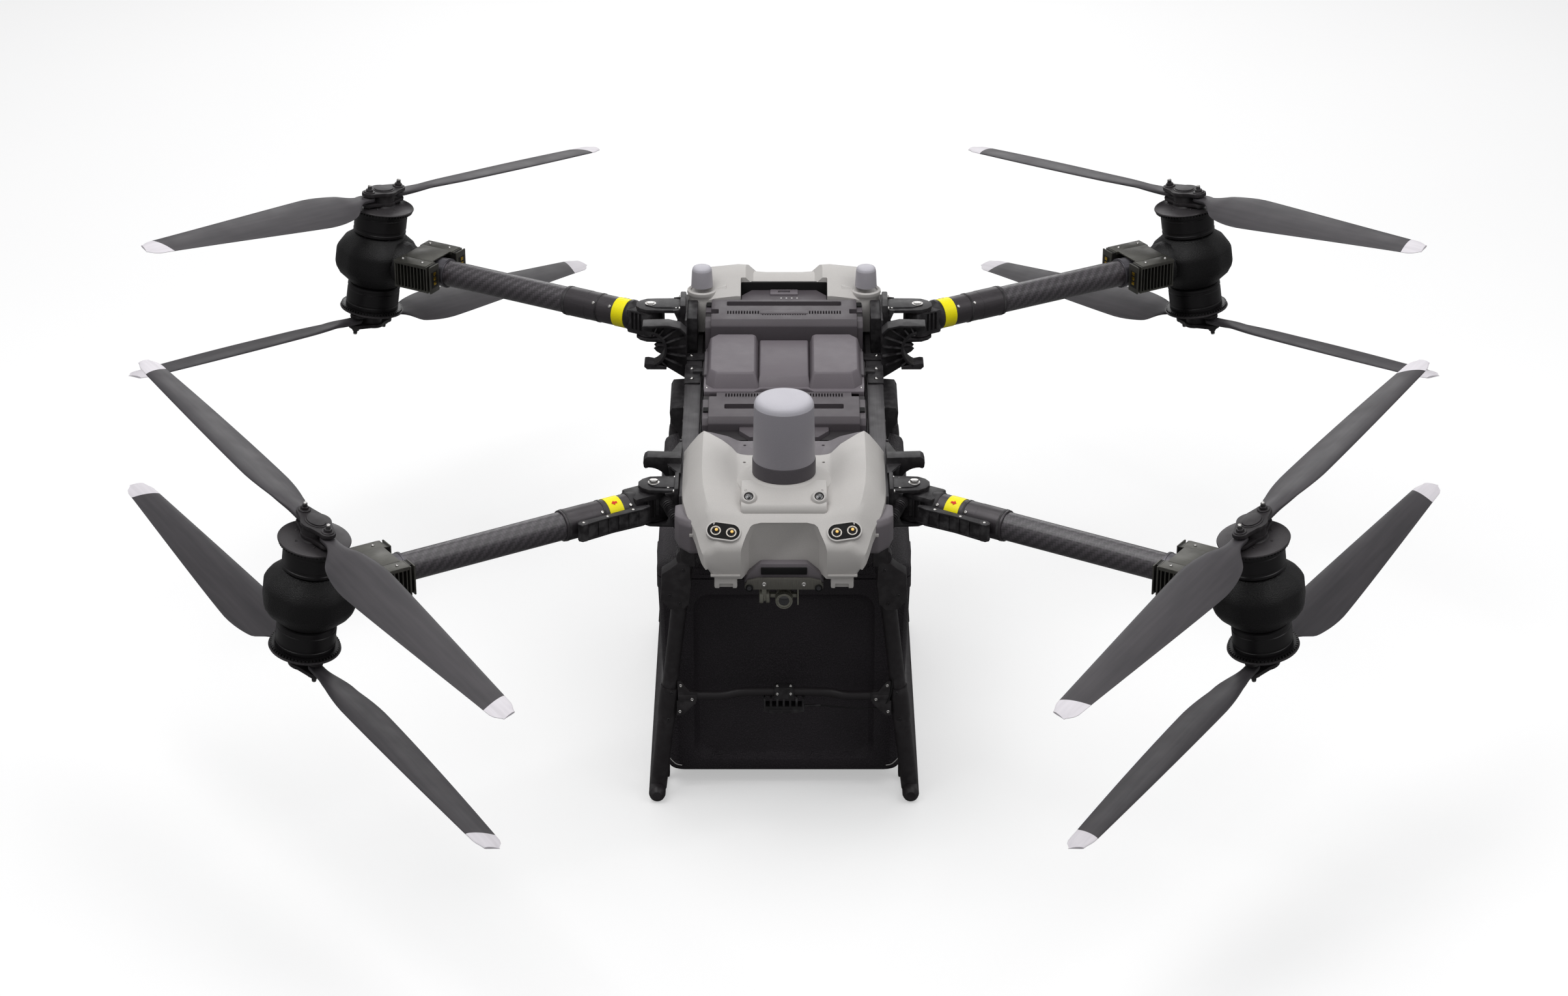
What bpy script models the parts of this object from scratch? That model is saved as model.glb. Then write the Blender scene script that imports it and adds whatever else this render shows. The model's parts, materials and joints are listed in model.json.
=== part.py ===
"""Folding coaxial cargo multirotor: four folding arms, eight two-blade rotors, cargo case and landing gear.

Units are metres, +Z is up and the nose faces -Y. Pieces are placed from the airframe's own datum.
The whole aircraft is then moved down so that the ground is z = 0.
"""

import math

import bmesh
import bpy
from mathutils import Matrix, Vector

# ---------------------------------------------------------------- driving dimensions
GAP = 0.0006  # clearance between neighbouring pieces
ORIGIN_SHIFT = 0.0188  # puts the origin midway between the foremost and rearmost blade tips
GROUND = 0.080  # height of the ground above the airframe's datum

ROTOR_RADIUS = 0.6858  # 54 inch propeller
BLADE_PIN = 0.043  # blade hinge pin, from the rotor axis
BLADE_CHORD = 0.100
BLADE_ADVANCE = 0.006  # how far the blade lies ahead of the line through its pins
BLADE_TIP_CHORD = 0.046
BLADE_WIDEST = 0.30  # share of the rotor radius
BLADE_PLANE = 0.138  # blade plane above and below the pod centre
BLADE_PITCH_ROOT = 20.0
BLADE_PITCH_TIP = 6.0

POD_RADIUS = 0.086
POD_HALF = 0.056
BELL_RADIUS = 0.056
BELL_TOP = 0.1135
FLANGE_RADIUS = 0.0675
HUB_TOP = 0.156

TUBE_RADIUS = 0.0275
SLEEVE_RADIUS = 0.0305
SLEEVE_END = 0.205  # sleeve length, from the fold hinge
COLLAR_START = 0.19  # motor collar length, back from the pod centre
KNUCKLE_RADIUS = 0.0265
KNUCKLE_HALF = 0.031

POD_LEAN_IN = 0.135  # lean of the rotor axes towards the centre line

RAIL_IN = 0.167
RAIL_OUT = 0.201
RAIL_TOP = 0.735
TRAY_BOTTOM = 0.585
DECK_HALF = 0.1615  # half width of the batteries and the parachute pack

CASE_HALF_TOP = 0.247
CASE_HALF_BOTTOM = 0.229
CASE_FRONT = -0.335
CASE_REAR = 0.305
CASE_BOTTOM = 0.10
CASE_TOP = 0.535
LID_TOP = 0.562

# Front battery, parachute pack and rear battery, from nose to tail along the deck.
FRONT_BATTERY = (-0.155, 0.030, 0.774)  # front face, rear face, top
PARACHUTE = (0.0325, 0.268, 0.768)
REAR_BATTERY = (0.2805, 0.404, 0.818)

DOME_Y = -0.370
DOME_SEAT = 0.760
DOME_SOCKET_RADIUS = 0.0625
ANTENNA_X = 0.170
ANTENNA_Y = 0.437
ANTENNA_SEAT = 0.832
CAMERA = (0.0, -0.482, 0.576)  # on the camera's tilt axis

LEG_RADIUS = 0.0155
SKID_RADIUS = 0.0165
SKID_X = 0.2495
SKID_Z = GROUND + SKID_RADIUS
SKID_HALF = 0.385
FRONT_HIP = (0.184, -0.395, 0.646)
FRONT_KNEE = (0.196, -0.395, 0.560)
FRONT_FOOT = (0.2480, -0.372, SKID_Z + 0.001)
REAR_HIP = (0.2175, 0.345, 0.606)
REAR_FOOT = (0.2515, 0.345, SKID_Z + 0.001)
CROSSBAR_Y = -0.387
CROSSBAR_Z = 0.290
CROSSBAR_HALF = 0.206

# Each end's arm: fold hinge, pod centre, direction of the blades at rest, hinge axis and direction of turn.
FRONT = {
    "hinge": (0.250, -0.330, 0.700),
    "pod": (0.872, -0.714, 0.697),
    "blade_azimuth": 54.6,
    "lean_out": 0.075,  # lean of the rotor axes towards the nose
    "fold_axis": (0.0, 0.0, 1.0),
    "foot_depth": 0.014,
    "upper_spin": -1,
}
REAR = {
    "hinge": (0.275, 0.360, 0.790),
    "pod": (0.872, 0.714, 0.785),
    "blade_azimuth": 130.5,
    "lean_out": 0.050,  # lean of the rotor axes towards the tail
    "fold_axis": (0.0, 0.0, 1.0),
    "foot_depth": 0.020,
    "upper_spin": 1,
}

# ---------------------------------------------------------------- scene and materials


def clear_scene():
    for old in list(bpy.data.objects):
        bpy.data.objects.remove(old, do_unlink=True)


def make_material(name, colour, roughness, metallic=0.0):
    material = bpy.data.materials.new(name)
    material.use_nodes = True
    shader = material.node_tree.nodes["Principled BSDF"]
    shader.inputs["Base Color"].default_value = (*colour, 1.0)
    shader.inputs["Roughness"].default_value = roughness
    shader.inputs["Metallic"].default_value = metallic
    return material


def make_materials():
    return {
        "black_plastic": make_material("black_plastic", (0.014, 0.013, 0.014), 0.55),
        "pod_casting": make_material("pod_casting", (0.010, 0.009, 0.010), 0.6),
        "anodised_black": make_material("anodised_black", (0.02, 0.019, 0.02), 0.4, 0.6),
        "blade": make_material("blade", (0.07, 0.067, 0.07), 0.5),
        "carbon": make_material("carbon", (0.025, 0.023, 0.025), 0.38),
        "heatsink": make_material("heatsink", (0.11, 0.11, 0.10), 0.45, 0.8),
        "cowl_grey": make_material("cowl_grey", (0.48, 0.46, 0.45), 0.5),
        "cover_grey": make_material("cover_grey", (0.105, 0.092, 0.10), 0.5),
        "dome_grey": make_material("dome_grey", (0.33, 0.32, 0.34), 0.45),
        "case_foam": make_material("case_foam", (0.012, 0.010, 0.012), 0.75),
        "camera_metal": make_material("camera_metal", (0.14, 0.13, 0.12), 0.4, 0.7),
    }


# ---------------------------------------------------------------- mesh helpers


def bridge(mesh, first, second):
    count = len(first)
    for i in range(count):
        j = (i + 1) % count
        mesh.faces.new((first[i], first[j], second[j], second[i]))


def loft(rings):
    """Closed mesh through rings of equal point count, capped at both ends."""
    mesh = bmesh.new()
    rows = [[mesh.verts.new(point) for point in ring] for ring in rings]
    for first, second in zip(rows, rows[1:]):
        bridge(mesh, first, second)
    mesh.faces.new(rows[0][::-1])
    mesh.faces.new(rows[-1])
    return face_outward(mesh)


def face_outward(mesh):
    bmesh.ops.recalc_face_normals(mesh, faces=mesh.faces)
    if mesh.calc_volume(signed=True) < 0:
        bmesh.ops.reverse_faces(mesh, faces=mesh.faces)
    return mesh


def revolve(profile, segments=24):
    """Turned body about local Z from (radius, height) pairs that run bottom to top."""
    rings = []
    for radius, height in profile:
        ring = []
        for i in range(segments):
            angle = 2 * math.pi * i / segments
            ring.append(Vector((radius * math.cos(angle), radius * math.sin(angle), height)))
        rings.append(ring)
    return loft(rings)


def frame_along(direction, up):
    """Rotation matrix whose Z is the direction and whose X is as near to up as it can be."""
    z_axis = Vector(direction).normalized()
    x_axis = Vector(up) - z_axis * z_axis.dot(Vector(up))
    x_axis.normalize()
    y_axis = z_axis.cross(x_axis)
    return Matrix((x_axis, y_axis, z_axis)).transposed()


def rod(start, end, radius, segments=12):
    """Round bar between two points."""
    start = Vector(start)
    end = Vector(end)
    direction = (end - start).normalized()
    up = (0.01, 0.02, 1.0) if abs(direction.z) < 0.9 else (1, 0, 0)
    turn = frame_along(direction, up)
    length = (end - start).length
    mesh = revolve([(radius, 0.0), (radius, length)], segments)
    mesh.transform(Matrix.Translation(start) @ turn.to_4x4())
    return mesh


def box(low, high, bevel=0.0):
    low = Vector(low)
    high = Vector(high)
    mesh = bmesh.new()
    bmesh.ops.create_cube(mesh, size=1.0)
    size = high - low
    mesh.transform(Matrix.Translation((low + high) / 2) @ Matrix.Diagonal((*size, 1.0)))
    if bevel:
        bmesh.ops.bevel(mesh, geom=list(mesh.edges), offset=bevel, segments=1, affect="EDGES")
    return mesh


def prism(outline, low, high, axis="Z"):
    """Straight extrusion of a closed outline between two heights along the named axis."""
    place = {
        "X": lambda u, v, w: Vector((w, u, v)),
        "Y": lambda u, v, w: Vector((u, w, v)),
        "Z": lambda u, v, w: Vector((u, v, w)),
    }[axis]
    return loft([[place(u, v, w) for u, v in outline] for w in (low, high)])


def rounded_ring(half_x, low, high, radius, y, arc=3):
    """Rounded rectangle in the XZ plane at the given y."""
    ring = []
    corners = ((1, low, -90), (1, high, 0), (-1, high, 90), (-1, low, 180))
    for side, level, start in corners:
        cx = side * (half_x - radius)
        cz = level + radius if level == low else level - radius
        for i in range(arc + 1):
            angle = math.radians(start + 90 * i / arc)
            ring.append(Vector((cx + radius * math.cos(angle), y, cz + radius * math.sin(angle))))
    return ring


def store(name, mesh, material, smooth=True):
    data = bpy.data.meshes.new(name)
    mesh.to_mesh(data)
    mesh.free()
    if smooth:
        data.shade_smooth()
        data.set_sharp_from_angle(angle=math.radians(32))
    piece = bpy.data.objects.new(name, data)
    bpy.context.scene.collection.objects.link(piece)
    if material:
        data.materials.append(material)
    return piece


def helper(name, mesh):
    piece = store(name, mesh, None, smooth=False)
    piece.hide_render = True
    piece.display_type = "WIRE"
    return piece


def combine(piece, others, operation="UNION"):
    for number, mesh in enumerate(others):
        tool = helper(f"{piece.name}_{operation.lower()}_{number}", mesh)
        tool.parent = piece
        modifier = piece.modifiers.new(tool.name, "BOOLEAN")
        modifier.operation = operation
        modifier.solver = "EXACT"
        modifier.object = tool
    return piece


def build(name, material, meshes, cuts=(), smooth=True):
    piece = store(name, meshes[0], material, smooth)
    combine(piece, meshes[1:])
    return combine(piece, cuts, "DIFFERENCE")


# ---------------------------------------------------------------- rotors


def blade_width(radius):
    """Chord at a distance from the rotor axis: slender root, widest near a third, tapering to the tip."""
    share = radius / ROTOR_RADIUS
    if share < BLADE_WIDEST:
        swell = math.sin(math.pi / 2 * (share - 0.05) / (BLADE_WIDEST - 0.05)) ** 1.2
        return 0.026 + (BLADE_CHORD - 0.026) * max(0.0, swell)
    taper = (share - BLADE_WIDEST) / (1 - BLADE_WIDEST)
    return BLADE_CHORD - (BLADE_CHORD - BLADE_TIP_CHORD) * taper ** 1.15


def blade_ring(along, chord, thickness, pitch, lead, tip_rake, lead_share, advance=0.0):
    """Ten-point blade section. The leading edge lies at +Y before the lead sign is applied."""
    ring = []
    lean = math.radians(pitch)
    for share, height in (
        (1.0, 0.0), (0.85, 0.75), (0.5, 1.0), (0.0, 0.85), (-0.5, 0.45),
        (-1.0, 0.0), (-0.5, -0.2), (0.0, -0.3), (0.5, -0.35), (0.85, -0.3),
    ):
        y = advance + chord * (lead_share - 0.5 + 0.5 * share)
        z = thickness * height * 0.6
        ring.append(Vector((
            along + tip_rake * y,
            lead * (y * math.cos(lean) - z * math.sin(lean)),
            y * math.sin(lean) + z * math.cos(lean),
        )))
    return ring


def blade_mesh(lead, lift):
    """One blade along local +X from its hinge pin. lift is -1 for a rotor that hangs under its pod."""
    rings = []
    reach = ROTOR_RADIUS - BLADE_PIN
    for along, width in ((-0.0125, 0.010), (-0.007, 0.0235), (0.004, 0.027), (0.020, 0.026)):
        rings.append(blade_ring(along, width, 0.0085, 0.0, lead, 0.0, 0.5))
    stations = 9
    for i in range(stations):
        share = i / (stations - 1)
        along = 0.045 + (reach - 0.010 - 0.045) * share ** 1.15
        radius = along + BLADE_PIN
        pitch = BLADE_PITCH_ROOT + (BLADE_PITCH_TIP - BLADE_PITCH_ROOT) * share
        blend = min(1.0, i / 1.5)
        thickness = 0.0115 - 0.0070 * share
        rake = -0.30 if i == stations - 1 else 0.0
        lead_share = 0.5 + (0.34 - 0.5) * blend
        advance = BLADE_ADVANCE * min(1.0, i / 2.5)
        chord = blade_width(radius)
        turn = pitch * blend
        rings.append(blade_ring(along, chord, thickness, turn, lead, rake, lead_share, advance))
    mesh = loft(rings)
    if lift < 0:
        mesh.transform(Matrix.Diagonal((1, 1, -1, 1)))
    return face_outward(mesh)


def rotor_meshes():
    """Turning bell, flange and blade clamp about local Z. The pod centre is the origin."""
    bell = revolve([
        (0.040, POD_HALF + 0.001), (BELL_RADIUS, POD_HALF + 0.001), (BELL_RADIUS, BELL_TOP),
        (FLANGE_RADIUS, BELL_TOP), (FLANGE_RADIUS, BELL_TOP + 0.005), (0.024, BELL_TOP + 0.007),
        (0.024, HUB_TOP), (0.018, HUB_TOP + 0.003),
    ], 20)
    plate_low = BLADE_PLANE + 0.0075
    plate = loft([
        [Vector((x, y, z)) for x, y in clamp_outline()]
        for z in (plate_low, HUB_TOP - 0.002)
    ])
    pins = []
    for side in (-1, 1):
        x = side * BLADE_PIN
        pins.append(rod((x, 0, HUB_TOP - 0.004), (x, 0, HUB_TOP + 0.010), 0.0055, 8))
    return [bell, plate, *pins]


def clamp_outline():
    """Round centre with a rounded lobe over each blade pin."""
    points = []
    lobe = 0.0155
    centre = 0.029
    for side in (0, 180):
        for step in range(5):
            angle = math.radians(side - 80 + 40 * step)
            cx = BLADE_PIN * math.cos(math.radians(side))
            points.append((cx + lobe * math.cos(angle), lobe * math.sin(angle)))
        for step in range(3):
            angle = math.radians(side + 65 + 25 * step)
            points.append((centre * math.cos(angle), centre * math.sin(angle)))
    return points


def rotor_frame(pod, normal, azimuth, upper):
    """World matrix of a rotor: Z away from the pod, X along the blade line."""
    z_axis = Vector(normal).normalized()
    line = Vector((math.cos(math.radians(azimuth)), math.sin(math.radians(azimuth)), 0))
    x_axis = (line - z_axis * z_axis.dot(line)).normalized()
    if not upper:
        z_axis = -z_axis
    y_axis = z_axis.cross(x_axis)
    turn = Matrix((x_axis, y_axis, z_axis)).transposed().to_4x4()
    return Matrix.Translation(Vector(pod)) @ turn


def add_rotor(corner, place, upper, spin, materials, root):
    level = "upper" if upper else "lower"
    rotor = build(f"rotor_{corner}_{level}", materials["anodised_black"], rotor_meshes())
    rotor.matrix_world = place
    rotor.parent = root
    # A turning sense seen from above reverses in the frame of a rotor that points down.
    lead = spin if upper else -spin
    for number, turn in ((1, 0.0), (2, math.pi)):
        mesh = blade_mesh(lead, 1 if upper else -1)
        blade = store(f"blade_{corner}_{level}_{number}", mesh, materials["blade"])
        pin = Matrix.Rotation(turn, 4, "Z") @ Matrix.Translation((BLADE_PIN, 0, BLADE_PLANE))
        blade.matrix_world = place @ pin
        blade.parent = root


# ---------------------------------------------------------------- arms


def arm_frame(hinge, pod):
    """World matrix of an arm: X outward along the tube, Z its upper side."""
    x_axis = (Vector(pod) - Vector(hinge)).normalized()
    z_axis = (Vector((0, 0, 1)) - x_axis * x_axis.z).normalized()
    y_axis = z_axis.cross(x_axis)
    turn = Matrix((x_axis, y_axis, z_axis)).transposed().to_4x4()
    return Matrix.Translation(Vector(hinge)) @ turn


def tube_part(start, end, radius, segments=20):
    return rod((start, 0, 0), (end, 0, 0), radius, segments)


def add_arm(corner, end, side, materials, root):
    hinge = Vector((side * end["hinge"][0], *end["hinge"][1:]))
    pod = Vector((side * end["pod"][0], *end["pod"][1:]))
    fore_aft = -1 if pod.y < 0 else 1
    normal = Vector((-side * POD_LEAN_IN, fore_aft * end["lean_out"], 1.0)).normalized()
    azimuth = end["blade_azimuth"] if side > 0 else 180.0 - end["blade_azimuth"]
    place = arm_frame(hinge, pod)
    length = (pod - hinge).length
    outer_side = 1 if (place.to_3x3() @ Vector((0, 1, 0))).y * fore_aft > 0 else -1

    axis = Vector((side * end["fold_axis"][0], *end["fold_axis"][1:])).normalized()
    add_arm_tube(corner, place, length, axis, materials, root)
    add_arm_root(corner, hinge, side, axis, end["foot_depth"], materials, root)
    add_pod(corner, pod, normal, place, length, materials, root)
    add_escs(corner, place, length, materials, root)
    add_lever(corner, place, outer_side, materials, root)
    for upper in (True, False):
        spin = side * end["upper_spin"] * (1 if upper else -1)
        add_rotor(corner, rotor_frame(pod, normal, azimuth, upper), upper, spin, materials, root)


def add_arm_tube(corner, place, length, axis, materials, root):
    local_axis = place.to_3x3().inverted() @ axis
    knuckle = rod(-local_axis * KNUCKLE_HALF, local_axis * KNUCKLE_HALF, KNUCKLE_RADIUS, 20)
    neck = box((0.0, -0.022, -0.024), (0.05, 0.022, 0.024), 0.004)
    sleeve = tube_part(0.040, SLEEVE_END, SLEEVE_RADIUS)
    tube = tube_part(SLEEVE_END - 0.01, length - COLLAR_START - GAP, TUBE_RADIUS)
    arm = build(f"arm_tube_{corner}", materials["carbon"], [sleeve, tube, neck, knuckle])
    arm.matrix_world = place
    arm.parent = root


def add_arm_root(corner, hinge, side, axis, foot_depth, materials, root):
    """Fixed bracket: a plate above and a plate below the knuckle, on a foot bolted to the side rail."""
    reach_in = RAIL_OUT + GAP - abs(hinge.x)
    plate_gap = KNUCKLE_HALF + 0.001
    thick = 0.007
    half = 0.030
    inner = reach_in + foot_depth / 2
    outline = [(inner, -half - 0.002), (0.004, -half), (0.022, -half * 0.62), (0.030, 0.0),
               (0.022, half * 0.62), (0.004, half), (inner, half + 0.002)]
    facing = Matrix.Identity(3) if side > 0 else Matrix.Rotation(math.pi, 3, "Z")
    tilt = frame_along(facing.inverted() @ axis, (1, 0, 0)).to_4x4()
    parts = []
    for level in (-1, 1):
        low = plate_gap if level > 0 else -plate_gap - thick
        plate = prism(outline, low, low + thick)
        bolt_low = plate_gap + thick - 0.001 if level > 0 else -plate_gap - thick - 0.007
        bolt = rod((0, 0, bolt_low), (0, 0, bolt_low + 0.008), 0.009, 8)
        for mesh in (plate, bolt):
            mesh.transform(tilt)
            parts.append(mesh)
    height = plate_gap + thick + 0.008 + abs(axis.x * reach_in)
    foot = box((reach_in, -half - 0.010, -height), (reach_in + foot_depth, half + 0.010, height))
    piece = build(f"arm_root_{corner}", materials["anodised_black"], [foot, *parts])
    piece.matrix_world = Matrix.Translation(hinge) @ facing.to_4x4()
    piece.parent = root


def add_pod(corner, pod, normal, place, length, materials, root):
    barrel = revolve([
        (0.050, -POD_HALF), (0.0555, -POD_HALF + 0.004), (POD_RADIUS, -0.018), (POD_RADIUS, 0.022),
        (0.0555, POD_HALF - 0.004), (0.050, POD_HALF),
    ], 20)
    turn = frame_along(normal, (1, 0, 0)).to_4x4()
    barrel.transform(Matrix.Translation((length, 0, 0)) @ place.to_3x3().inverted().to_4x4() @ turn)
    collar = tube_part(length - COLLAR_START + GAP, length - 0.05, SLEEVE_RADIUS)
    piece = build(f"motor_pod_{corner}", materials["pod_casting"], [barrel, collar])
    piece.matrix_world = place
    piece.parent = root


def add_escs(corner, place, length, materials, root):
    """Two finned speed-controller housings astride the collar, joined by a saddle plate over it."""
    near = length - 0.186
    far = length - 0.092
    saddle_low = SLEEVE_RADIUS + 0.001
    meshes = [box((near + 0.01, -0.062, saddle_low), (far, 0.062, saddle_low + 0.006))]
    for side in (-1, 1):
        low_y, high_y = sorted((side * (SLEEVE_RADIUS + 0.002), side * 0.072))
        meshes.append(box((near, low_y, -0.026), (far, high_y, saddle_low + 0.003), 0.002))
    cuts = []
    for side in (-1, 1):
        for i in range(5):
            x = near + 0.020 + 0.0135 * i
            low_y, high_y = sorted((side * 0.060, side * 0.080))
            cuts.append(box((x, low_y, -0.030), (x + 0.006, high_y, 0.024)))
    piece = build(f"esc_pair_{corner}", materials["heatsink"], meshes, cuts, smooth=False)
    piece.matrix_world = place
    piece.parent = root


def add_lever(corner, place, outer_side, materials, root):
    """Over-centre lock lever that lies along the sleeve and turns on a pin near its outer end."""
    pivot = 0.178
    offset = SLEEVE_RADIUS + 0.0125
    outline = [
        (-0.145, -0.006), (-0.125, -0.011), (-0.06, -0.009), (-0.02, -0.010),
        (0.0, -0.0105), (0.011, -0.006), (0.013, 0.002), (0.008, 0.0105),
        (-0.02, 0.0085), (-0.06, 0.006), (-0.125, 0.009), (-0.145, 0.005),
    ]
    mesh = prism([(x, outer_side * y) for x, y in outline], -0.024, 0.012)
    piece = store(f"lock_lever_{corner}", mesh, materials["black_plastic"], smooth=False)
    piece.matrix_world = place @ Matrix.Translation((pivot, outer_side * offset, -0.004))
    piece.parent = root


# ---------------------------------------------------------------- body


def side_box(side, inner, outer, y0, y1, z0, z1, bevel=0.0):
    x0, x1 = sorted((side * inner, side * outer))
    return box((x0, y0, z0), (x1, y1, z1), bevel)


def add_airframe(materials, root):
    """Side rails, battery tray, cargo hangers and the clips that hold the folded arms."""
    meshes = [box((-RAIL_OUT, -0.195, TRAY_BOTTOM), (RAIL_OUT, 0.470, TRAY_BOTTOM + 0.012))]
    for side in (-1, 1):
        meshes.append(side_box(side, RAIL_IN, RAIL_OUT, -0.380, 0.500, 0.660, RAIL_TOP))
        meshes.append(side_box(side, RAIL_IN, RAIL_OUT, -0.190, 0.465, TRAY_BOTTOM + 0.001, 0.665))
        meshes.append(side_box(side, 0.180, RAIL_OUT - 0.001, 0.310, 0.410, RAIL_TOP - 0.01, 0.842))
        meshes.append(arm_clip(side, -0.235, 0.700, 0.052))
        meshes.append(arm_clip(side, 0.265, 0.700, 0.052))
        for y in (-0.12, 0.20):
            meshes.append(side_box(side, 0.10, 0.13, y, y + 0.03, LID_TOP + 0.0004, TRAY_BOTTOM + 0.004))
    frame = build("airframe", materials["black_plastic"], meshes, smooth=False)
    frame.parent = root


def arm_clip(side, y, z, reach):
    """Open hook on the side rail, mouth outboard."""
    outline = [(0.0, 0.030), (reach, 0.036), (reach + 0.012, 0.030), (reach + 0.010, 0.024),
               (0.034, 0.020), (0.020, 0.0), (0.034, -0.022), (reach - 0.006, -0.030),
               (reach - 0.010, -0.038), (0.018, -0.036), (0.0, -0.030)]
    points = [(side * (RAIL_OUT - 0.004 + x), z + v) for x, v in outline]
    return prism(points, y - 0.016, y + 0.016, "Y")


def cowl_ring(y, half, low, middle, shoulder):
    """Section of the nose cowl: flat belly, flared cheeks, raised shoulders and a lower middle."""
    right = [
        (0.0, low),
        (0.62 * half, low),
        (0.86 * half, low + 0.014),
        (0.97 * half, low + 0.060),
        (half, 0.45 * low + 0.55 * shoulder),
        (0.985 * half, shoulder - 0.030),
        (0.90 * half, shoulder - 0.006),
        (0.76 * half, shoulder),
        (0.55 * half, 0.55 * middle + 0.45 * shoulder),
        (0.36 * half, middle + 0.004),
    ]
    left = [(-x, z) for x, z in right[:0:-1]]
    return [Vector((x, y, z)) for x, z in (*right, (0.0, middle), *left)]


def add_front_cowl(materials, root):
    rings = [
        cowl_ring(-0.200, 0.191, 0.610, 0.770, 0.790),
        cowl_ring(-0.300, 0.194, 0.618, 0.768, 0.800),
        cowl_ring(-0.400, 0.193, 0.623, 0.764, 0.792),
        cowl_ring(-0.470, 0.182, 0.624, 0.754, 0.772),
        cowl_ring(-0.515, 0.166, 0.630, 0.742, 0.752),
        cowl_ring(-0.540, 0.146, 0.640, 0.722, 0.730),
        cowl_ring(-0.550, 0.120, 0.652, 0.700, 0.706),
    ]
    cuts = []
    for side in (-1, 1):
        cuts.append(side_box(side, RAIL_IN - GAP, 0.25, -0.380 - GAP, -0.150, 0.50, RAIL_TOP + GAP))
        cuts.append(side_box(side, 0.160, 0.25, -0.420, -0.370, 0.50, 0.663))
    cuts.append(rod((0, DOME_Y, DOME_SEAT), (0, DOME_Y, 0.90), DOME_SOCKET_RADIUS, 28))
    cowl = build("front_cowl", materials["cowl_grey"], [loft(rings)], cuts)
    cowl.parent = root


def add_dome(materials, root):
    low = DOME_SEAT + GAP
    profile = [
        (0.0605, low), (0.0605, low + 0.026), (0.0595, low + 0.027), (0.0565, 0.918), (0.0535, 0.929),
        (0.0470, 0.935), (0.020, 0.937),
    ]
    dome = store("radar_dome", revolve(profile, 24), materials["dome_grey"])
    dome.location = (0, DOME_Y, 0)
    dome.parent = root


def add_rear_cowl(materials, root):
    shell = loft([
        rounded_ring(0.196, 0.620, 0.838, 0.030, 0.476),
        rounded_ring(0.190, 0.622, 0.846, 0.032, 0.505),
        rounded_ring(0.172, 0.640, 0.838, 0.034, 0.540),
        rounded_ring(0.150, 0.670, 0.806, 0.034, 0.556),
    ])
    meshes = [shell]
    for side in (-1, 1):
        x = side * ANTENNA_X
        meshes.append(rod((x, ANTENNA_Y, 0.745), (x, ANTENNA_Y, ANTENNA_SEAT), 0.0265, 20))
        meshes.append(side_box(side, 0.146, 0.194, ANTENNA_Y, 0.480, 0.745, 0.820))
    cuts = []
    for side in (-1, 1):
        cuts.append(side_box(side, 0.165, 0.210, 0.440, 0.500 + GAP, 0.600, RAIL_TOP + GAP))
    cowl = build("rear_cowl", materials["cowl_grey"], meshes, cuts)
    cowl.parent = root


def add_antenna(name, side, materials, root):
    profile = [(0.0222, 0.0), (0.0205, 0.036), (0.0180, 0.0425), (0.008, 0.044)]
    antenna = store(name, revolve(profile, 24), materials["dome_grey"])
    antenna.location = (side * ANTENNA_X, ANTENNA_Y, ANTENNA_SEAT + GAP)
    antenna.parent = root


def deck_block(extent, floor):
    """Bevelled block across the deck from (front face, rear face, top)."""
    front, rear, top = extent
    return box((-DECK_HALF, front, floor), (DECK_HALF, rear, top), 0.004)


def add_deck(materials, root):
    """Both batteries with their hand slots, and the parachute pack between them."""
    floor = TRAY_BOTTOM + 0.012 + GAP
    front = deck_block(FRONT_BATTERY, floor)
    grip = box((-0.118, -0.062, 0.757), (0.118, -0.036, 0.800))
    battery = build("battery_front", materials["cover_grey"], [front], [grip], smooth=False)
    battery.parent = root

    pack_base = deck_block(PARACHUTE, 0.640)
    pads = []
    for side in (-1, 1):
        pads.append(side_box(side, 0.048, DECK_HALF - 0.006, 0.050, 0.264, 0.760, 0.800, 0.008))
    pack = build("parachute_pack", materials["cover_grey"], [pack_base, *pads], smooth=False)
    pack.parent = root

    rear = deck_block(REAR_BATTERY, floor)
    tongue = box((-0.068, 0.390, floor + 0.02), (0.068, 0.460, 0.818), 0.003)
    slot = box((-0.118, 0.362, 0.800), (0.118, 0.384, 0.86))
    battery = build("battery_rear", materials["cover_grey"], [rear, tongue], [slot], smooth=False)
    battery.parent = root


def add_gimbal(materials, root):
    """Belly plate with the camera's tilt motor on one side and a bearing cheek on the other."""
    y = CAMERA[1]
    z = CAMERA[2]
    base = box((-0.078, y - 0.050, z + 0.0315), (0.078, y + 0.082, z + 0.0445), 0.002)
    cheek = box((0.0262, y - 0.016, z - 0.010), (0.0312, y + 0.016, z + 0.036))
    stem = box((-0.046, y - 0.014, z), (-0.032, y + 0.014, z + 0.036))
    motor = rod((-0.050, y, z), (-0.028, y, z), 0.0155, 16)
    mount = build("gimbal_mount", materials["camera_metal"], [base, cheek, stem, motor])
    mount.parent = root
    barrel = rod((0, y - 0.030, z), (0, y + 0.018, z), 0.0165, 20)
    axle = rod((-0.0272, y, z), (0.0252, y, z), 0.006, 12)
    camera = build("gimbal_camera", materials["camera_metal"], [barrel, axle])
    camera.parent = root


def case_ring(z, inset=0.0):
    share = (z - CASE_BOTTOM) / (LID_TOP - CASE_BOTTOM)
    half = CASE_HALF_BOTTOM + (CASE_HALF_TOP - CASE_HALF_BOTTOM) * share - inset
    corner = 0.020
    front = CASE_FRONT + inset
    rear = CASE_REAR - inset
    points = [
        (half, front + corner), (half, rear - corner), (half - corner, rear), (-half + corner, rear),
        (-half, rear - corner), (-half, front + corner), (-half + corner, front), (half - corner, front),
    ]
    return [Vector((x, y, z)) for x, y in points]


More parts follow.
